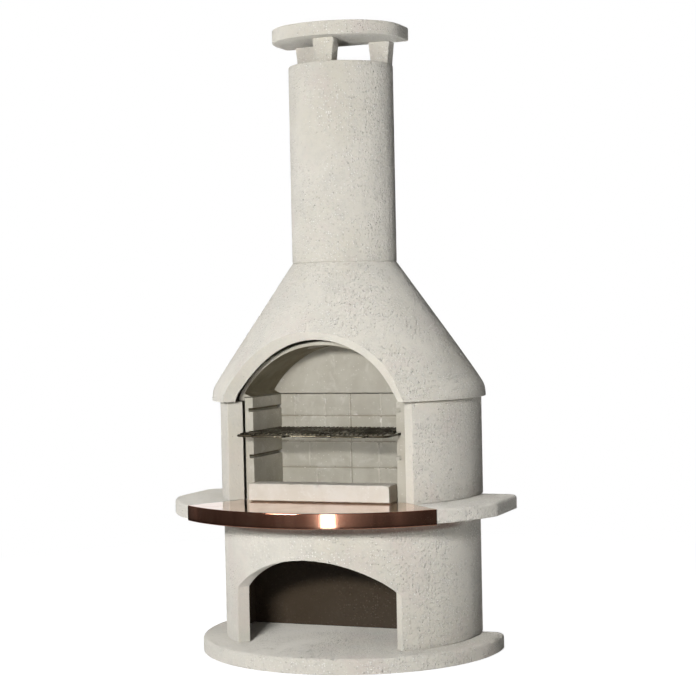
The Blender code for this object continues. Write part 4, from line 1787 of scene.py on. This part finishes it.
@dataclass
class Hood:
    """Conical smoke hood with an upright lip and an arched mouth."""

    radius: float = 0.4725
    centre_y: float = -0.0056
    top_radius: float = 0.1794
    top_centre_y: float = -0.0242
    low: float = 0.8593
    lip_z: float = 0.8975
    top: float = 1.3216
    wall: float = 0.0466
    back_y: float = 0.093
    arch_radius: float = 0.3374
    arch_drop: float = 0.107
    knee: float = 0.008
    edge: float = 0.008
    wall_steps: int = 40
    mouth_steps: int = 64
    mouth_lift: float = 0.004
    steep_slope: float = 0.6
    steep_lift: float = 0.012
    steep_lift_most: float = 0.018
    # Heights of the rows above the start of a column, closer together round the knee.
    levels: tuple[float, ...] = (
        0.0, 0.012, 0.022, 0.029, 0.034, 0.038, 0.042, 0.047, 0.054, 0.064, 0.078, 0.096,
        0.118, 0.143, 0.171, 0.201, 0.233, 0.266, 0.299, 0.332, 0.364, 0.395, 0.423, 0.446, 0.4623,
    )  # fmt: skip

    def slope(self) -> float:
        """Angle between the cone's side and the vertical."""
        return math.atan2(self.radius - self.top_radius, self.top - self.lip_z)

    def middle_y(self, z: float) -> float:
        """Place of the axis at a height."""
        share = max(z - self.lip_z, 0) / (self.top - self.lip_z)
        return blend(self.centre_y, self.top_centre_y, share)

    def outer_radius(self, z: float) -> float:
        """Radius of the outer side at a height, with the knee eased."""
        rise = z - self.lip_z
        eased = (rise + math.sqrt(rise * rise + 4 * self.knee**2)) / 2
        return self.radius - math.tan(self.slope()) * eased * smooth_share(z, self.low - 0.01, self.lip_z)

    def inner_radius(self, z: float) -> float:
        """Radius of the inner side at a height."""
        knee_z = self.lip_z - self.wall * math.tan(self.slope() / 2)
        return self.radius - self.wall - math.tan(self.slope()) * max(z - knee_z, 0)

    def end_angle(self, radius: float, z: float, back_y: float) -> float:
        """Angle at which a ring meets its back plane."""
        return math.acos((self.middle_y(z) - back_y) / radius)

    def inner_start(self, z: float) -> float:
        """Height at which the cut from a point of the outer side meets the inner side.

        Args:
            z: Height of the point.

        Returns:
            The height, found by halving the reach of the cut.
        """
        tilt = self.slope() * min(max(z - self.low, 0) / (2 * self.wall), 1)
        low, high = 0.0, 3 * self.wall
        for _ in range(30):
            reach = (low + high) / 2
            inner_z = z - reach * math.sin(tilt)
            if self.outer_radius(z) - reach * math.cos(tilt) > self.inner_radius(inner_z):
                low = reach
            else:
                high = reach
        return max(z - low * math.sin(tilt), self.low)

    def column(
        self, angle: Callable[[float, bool], float], start: float, inner: bool, extra: float
    ) -> list[Vector]:
        """Points up one side at an angle, from a starting height.

        Args:
            angle: Angle from the front at a height, for the outer or inner side.
            start: Height of the first point.
            inner: Whether it is the inner side.
            extra: Added share of height before the second point.

        Returns:
            The points from low to high.
        """
        span = self.levels[-1]
        points = []
        for level in self.levels:
            share = level / span
            if share:
                share = share + extra * (1 - share)
            z = blend(start, self.top, share)
            radius = self.inner_radius(z) if inner else self.outer_radius(z)
            turn = angle(z, inner)
            points.append(Vector((radius * math.sin(turn), self.middle_y(z) - radius * math.cos(turn), z)))
        return points

    def build(self) -> Mesh:
        """Cast the hood.

        Returns:
            The mesh.
        """
        swing_end = math.acos(self.arch_drop / self.arch_radius)
        edge_angle = math.asin(self.arch_radius * math.sin(swing_end) / self.outer_radius(self.low))
        right = []
        for step in range(self.wall_steps + 1):

            def turn(z: float, inner: bool, share: float = step / self.wall_steps) -> float:
                """Angle of this line at a height."""
                radius = self.inner_radius(z) if inner else self.outer_radius(z)
                back_y = self.back_y - (self.wall if inner else 0)
                return blend(edge_angle, self.end_angle(radius, z, back_y), share)

            right.append([self.column(turn, self.low, inner, 0.0) for inner in OUTER_THEN_INNER])
        left = [[[Vector((-p.x, p.y, p.z)) for p in line] for line in pair] for pair in reversed(right)]
        back = [
            [[a.lerp(b, step / BACK_STEPS) for a, b in zip(*lines)] for lines in zip(right[-1], left[0])]
            for step in range(1, BACK_STEPS)
        ]
        stations = [Station(outer, inner) for outer, inner in right + back + left]
        for swing in spread(-swing_end, swing_end, self.mouth_steps)[1:-1]:
            x = self.arch_radius * math.sin(swing)
            z = self.low - self.arch_drop + self.arch_radius * math.cos(swing)
            # The second row keeps clear of the mouth's rounded edge, most where the arch is steep.
            steep = max(abs(math.tan(swing)) - self.steep_slope, 0)
            lift = min(self.steep_lift * steep, self.steep_lift_most)
            extra = lift / (self.top - z) + self.mouth_lift / (self.top - z)

            def fixed(_: float, __: bool, angle: float = math.asin(x / self.outer_radius(z))) -> float:
                """Angle of this line at any height."""
                return angle

            outer = self.column(fixed, z, False, extra)
            stations.append(Station(outer, self.column(fixed, self.inner_start(z), True, extra)))
        return shell("hood_casting", stations, closed=True)

    def dress(self, finishes: Finishes) -> None:
        """Show the hood in concrete."""
        faces, rounds = finishes.cast(), {"edge": self.edge, "edge_steps": 5}
        Piece(self.build(), Body.MASONRY, Slot.CONCRETE, faces, ["outer_hood"], **rounds).show()


@dataclass
class Flue:
    """Pipe above the hood, with a flat back."""

    wall: RoundWall = field(default_factory=lambda: RoundWall(0.1794, -0.0242, 0.045, 1.3219, 1.9939))
    edge: float = 0.004
    steps: int = 48
    rows: int = 20

    def build(self) -> Mesh:
        """Cast the pipe, whose first and last station are one."""
        return shell("flue_casting", self.wall.stations(0.0, self.steps, self.rows)[:-1], closed=True)

    def dress(self, finishes: Finishes) -> None:
        """Show the pipe in concrete."""
        faces = finishes.cast()
        Piece(self.build(), Body.MASONRY, Slot.CONCRETE, faces, ["flue_pipe"], edge=self.edge).show()


@dataclass
class RainCap:
    """Cap slab on three tapered feet."""

    plan: WideSlabPlan = field(
        default_factory=lambda: WideSlabPlan(0.228, 0.306, 0.064, 0.0445, 0.190, 0.015)
    )
    low: float = 2.0745
    high: float = 2.1211
    low_round: float = 0.004
    high_round: float = 0.007
    foot_edge: float = 0.0035
    foot_pitch: float = 0.012
    foot_low: float = 1.9942
    foot_high: float = 2.0742
    foot_top: float = 0.0764
    foot_bottom: float = 0.0597
    foot_depth: float = 0.053
    front_y: float = -0.186
    side_x: float = 0.135
    side_y: float = -0.0095

    def build_foot(self, name: str, x: float, y: float) -> Mesh:
        """Cast one foot.

        Args:
            name: Name of the mesh.
            x: Middle of the foot across.
            y: Front of the foot.

        Returns:
            The mesh.
        """
        low = Vector((x - self.foot_top / 2, y, self.foot_low))
        high = Vector((x + self.foot_top / 2, y + self.foot_depth, self.foot_high))
        mesh = rounded_block(name, low, high, self.foot_edge, self.foot_pitch)
        for vert in mesh.vertices:
            share = (vert.co.z - self.foot_low) / (self.foot_high - self.foot_low)
            vert.co.x = x + (vert.co.x - x) * blend(self.foot_bottom / self.foot_top, 1.0, share)
        return mesh

    def dress(self, finishes: Finishes) -> None:
        """Show the cap and its feet in concrete.

        Args:
            finishes: All materials.
        """
        for name, x, y in (
            ("front", 0.0, self.front_y),
            ("left", -self.side_x, self.side_y),
            ("right", self.side_x, self.side_y),
        ):
            foot = self.build_foot(f"foot_{name}_casting", x, y)
            Piece(foot, Body.MASONRY, Slot.CONCRETE, finishes.cast(), [f"cap_foot_{name}"]).show()
        rounds = self.low_round, self.high_round
        slab = cast_slab("rain_cap_casting", self.plan.inset, self.low, self.high, *rounds)
        Piece(slab, Body.MASONRY, Slot.CONCRETE, finishes.cast(), ["cap_slab"]).show()


@dataclass
class Camera:
    """Camera at the reference view."""

    place: Vector = field(default_factory=lambda: Vector((2.187, -5.671, 1.1575)))
    yaw: float = 21.12
    pitch: float = 1.22
    roll: float = -1.19
    focal_pixels: float = 1757.36
    sensor: float = 36.0

    def make(self) -> None:
        """Create the camera and make it the scene's."""
        yaw, pitch, roll = (math.radians(turn) for turn in (self.yaw, self.pitch, self.roll))
        forward = Vector(
            (-math.sin(yaw) * math.cos(pitch), math.cos(yaw) * math.cos(pitch), -math.sin(pitch))
        )
        level = Vector((math.cos(yaw), math.sin(yaw), 0))
        upright = level.cross(forward)
        right = math.cos(roll) * level + math.sin(roll) * upright
        up = math.cos(roll) * upright - math.sin(roll) * level
        data = bpy.data.cameras.new("reference_camera")
        data.sensor_width = self.sensor
        data.lens = self.focal_pixels / IMAGE_SIDE * self.sensor
        camera = link_object("reference_camera", data)
        turn = Matrix((right, up, -forward)).transposed()
        camera.matrix_world = Matrix.Translation(self.place) @ turn.to_4x4()
        bpy.context.scene.camera = camera


@dataclass
class Lamp:
    """Soft area lamp that stands round the object."""

    name: str
    azimuth: float
    distance: float
    height: float
    width: float
    tall: float
    level: float
    aim_z: float = 1.0
    glossy: bool = False

    def make(self) -> None:
        """Create the lamp, aimed at the object's axis."""
        turn = math.radians(self.azimuth)
        place = Vector((self.distance * math.sin(turn), -self.distance * math.cos(turn), self.height))
        data = bpy.data.lights.new(self.name, "AREA")
        data.shape = "RECTANGLE"
        data.size, data.size_y = self.width, self.tall
        aim = Vector((0, 0, self.aim_z))
        # A white face turned to the lamp then shows the level, whatever the distance.
        data.energy = self.level * math.pi**2 * (place - aim).length ** 2
        lamp = link_object(self.name, data)
        lamp.location = place
        lamp.rotation_mode = "QUATERNION"
        lamp.rotation_quaternion = (aim - place).to_track_quat("-Z", "Y")
        lamp.visible_glossy = self.glossy
        lamp.visible_camera = False


@dataclass
class StandingCard:
    """Bright upright card, placed by its direction from the table's front edge in degrees."""

    name: str
    azimuth: float
    width: float
    low: float
    high: float
    strength: float


@dataclass
class Glow:
    """Bright band of the surround: its direction and half width in degrees, and its level."""

    azimuth: float
    width: float
    level: float


@dataclass
class Studio:
    """Pale floor, white surround, soft lamps and the cards that metal shows."""

    floor_half: float = 14.0
    floor_tone: float = 0.8
    floor_lift: float = 1.8
    lift_share: float = 0.5
    white_from: float = 2.0
    ambient: float = 0.01
    card_radius: float = 4.4
    card_height: float = 4.0
    card_swing: float = 125.0
    ground_share: float = 0.4
    surround_level: float = 0.045
    surround_tint: Colour = (1.0, 0.98, 0.94)
    glows: tuple[Glow, ...] = (Glow(8.4, 8.0, 1.0), Glow(-92.0, 4.0, 0.09), Glow(49.0, 2.5, 0.08))
    edge_x: float = 0.137
    edge_y: float = -0.6
    card_distance: float = 3.4
    cards: tuple[StandingCard, ...] = (
        StandingCard("bright_strip_card", 6.6, 0.56, 0.002, 2.6, 9.0),
        StandingCard("wire_glint_card", -26, 1.1, 0.75, 1.9, 30.0),
    )
    lamps: tuple[Lamp, ...] = (
        Lamp("key_lamp", 5, 5.0, 1.65, 1.0, 0.36, 0.685),
        Lamp("right_lamp", 45, 3.0, 0.6, 1.0, 0.6, 0.055, 0.7),
        Lamp("front_top_lamp", -10, 2.2, 6.0, 2.0, 2.0, 0.10),
        Lamp("top_lamp", 0, 0.3, 7.0, 2.0, 2.0, 0.20),
        Lamp("back_lamp", -152, 5.0, 1.65, 1.6, 1.0, 0.34),
    )

    @staticmethod
    def glowing(name: str, colour: Colour, strength: float) -> Material:
        """Material that gives off a plain light.

        Args:
            name: Name of the material.
            colour: Colour of the light.
            strength: Its strength.

        Returns:
            The material.
        """
        material, graph = blank_material(name)
        graph.use(graph.glow(colour, strength))
        return material

    @staticmethod
    def card(name: str, corners: Sequence[Vector], material: Material) -> None:
        """Stand a card that only reflections see.

        Args:
            name: Name of the card.
            corners: Points of its lower edge, then as many of its upper edge.
            material: Material of the card.
        """
        shape = Shape()
        half = len(corners) // 2
        shape.bridge(shape.row(corners[:half]), shape.row(corners[half:]), closed=False)
        mesh = shape.draft(name)
        mesh.materials.append(material)
        made = link_object(name, mesh)
        made.visible_camera = False
        made.visible_diffuse = False
        made.visible_shadow = False

    def make_floor(self) -> None:
        """Lay the floor, white to the camera where no shadow falls."""
        material, graph = blank_material("studio_floor")
        seen = graph.node("ShaderNodeLightPath", {}, {}, "Is Camera Ray")
        away = graph.node("ShaderNodeVectorMath", {"operation": "LENGTH"}, {0: graph.place()}, "Value")
        paint = graph.node("ShaderNodeBsdfDiffuse", {}, {"Color": (self.floor_tone,) * 3})
        near = graph.between(seen * self.lift_share, paint, graph.glow(WHITE, self.floor_lift))
        far = seen * away.above(self.white_from, 2.0)
        graph.use(graph.between(far, near, graph.glow(WHITE, 1.0)))
        half = self.floor_half
        shape = Shape()
        shape.face(shape.row([(-half, -half, 0), (half, -half, 0), (half, half, 0), (-half, half, 0)]))
        mesh = shape.draft("studio_floor")
        mesh.materials.append(material)
        floor = link_object("studio_floor", mesh)
        floor.location.z = -0.0005

    def make_world(self) -> None:
        """Give the surround: white to the camera and to reflections, dim as a light."""
        world = bpy.data.worlds.new("studio_surround")
        world.use_nodes = True
        bpy.context.scene.world = world
        graph = Graph(world.node_tree)
        path = "ShaderNodeLightPath"
        seen = graph.node(path, {}, {}, "Is Camera Ray") + graph.node(path, {}, {}, "Is Glossy Ray")
        seen = seen + graph.node(path, {}, {}, "Is Transmission Ray")
        dim = graph.node("ShaderNodeBackground", {}, {"Color": WHITE, "Strength": self.ambient})
        white = graph.node("ShaderNodeBackground", {}, {"Color": WHITE, "Strength": 1.0})
        mixed = graph.between(seen.above(0.5, 0.2), dim, white)
        graph.node("ShaderNodeOutputWorld", {}, {"Surface": mixed})

    def surround_material(self) -> Material:
        """Dark surround whose glow falls off round the bright strip, with two dim bands.

        Returns:
            The material.
        """
        material, graph = blank_material("surround_card")
        turn_inputs = {0: graph.along("X"), 1: graph.along("Y") * -1}
        turn = graph.node("ShaderNodeMath", {"operation": "ARCTAN2"}, turn_inputs)
        level: Wire | float = self.surround_level
        for band in self.glows:
            away = (turn - math.radians(band.azimuth)) * (1 / math.radians(band.width))
            fall_off = {0: band.level, 1: away * away + 1}
            level = level + graph.node("ShaderNodeMath", {"operation": "DIVIDE"}, fall_off)
        dark, light = graph.glow((0.0, 0.0, 0.0), 1.0), graph.glow(self.surround_tint, 1.0)
        graph.use(graph.between(level, dark, light))
        return material

    def stand(self, card: StandingCard) -> None:
        """Stand a bright card that only metal shows.

        Args:
            card: The card.
        """
        turn = math.radians(card.azimuth)
        reach = self.card_distance
        centre = Vector((self.edge_x + reach * math.sin(turn), self.edge_y - reach * math.cos(turn), 0))
        across = Vector((math.cos(turn), math.sin(turn), 0)) * card.width / 2
        levels = Vector((0, 0, card.low)), Vector((0, 0, card.high))
        corners = [centre + side * across + level for level in levels for side in (-1, 1)]
        self.card(card.name, corners, self.glowing(card.name, WARM_WHITE, card.strength))

    def make_cards(self) -> None:
        """Stand the dark surround and the bright cards that the copper and wires show."""
        dark = self.glowing("dark_card", (0.03, 0.028, 0.025), 1.0)
        turns = [math.radians(turn) for turn in spread(-self.card_swing, self.card_swing, 60)]
        plan = [(self.card_radius * math.sin(turn), -self.card_radius * math.cos(turn)) for turn in turns]
        low, high, middle, ground = (
            [Vector((x * share, y * share, z)) for x, y in plan]
            for share, z in (
                (1.0, 0.001),
                (1.0, self.card_height),
                (0.02, self.card_height),
                (self.ground_share, 0.0006),
            )
        )
        self.card("dark_surround_card", low + high, self.surround_material())
        self.card("dark_ceiling_card", high + middle, dark)
        self.card("dark_ground_card", ground + low, dark)
        for card in self.cards:
            self.stand(card)

    def make(self) -> None:
        """Set the whole studio."""
        bpy.context.scene.view_settings.view_transform = "Standard"
        self.make_world()
        self.make_floor()
        self.make_cards()
        for lamp in self.lamps:
            lamp.make()


def main() -> None:
    """Build the object from the ground up, then the studio."""
    logging.basicConfig(level=logging.INFO, format="%(message)s")
    finishes = Finishes.make()
    for assembly in (
        Plinth(),
        ArchedBase(),
        Table(),
        Firebox(),
        Lining(),
        EmberBar(),
        Grate(),
        Cowl(),
        Hood(),
        Flue(),
        RainCap(),
    ):
        assembly.dress(finishes)
    Camera().make()
    Studio().make()


if __name__ == "__main__":
    main()
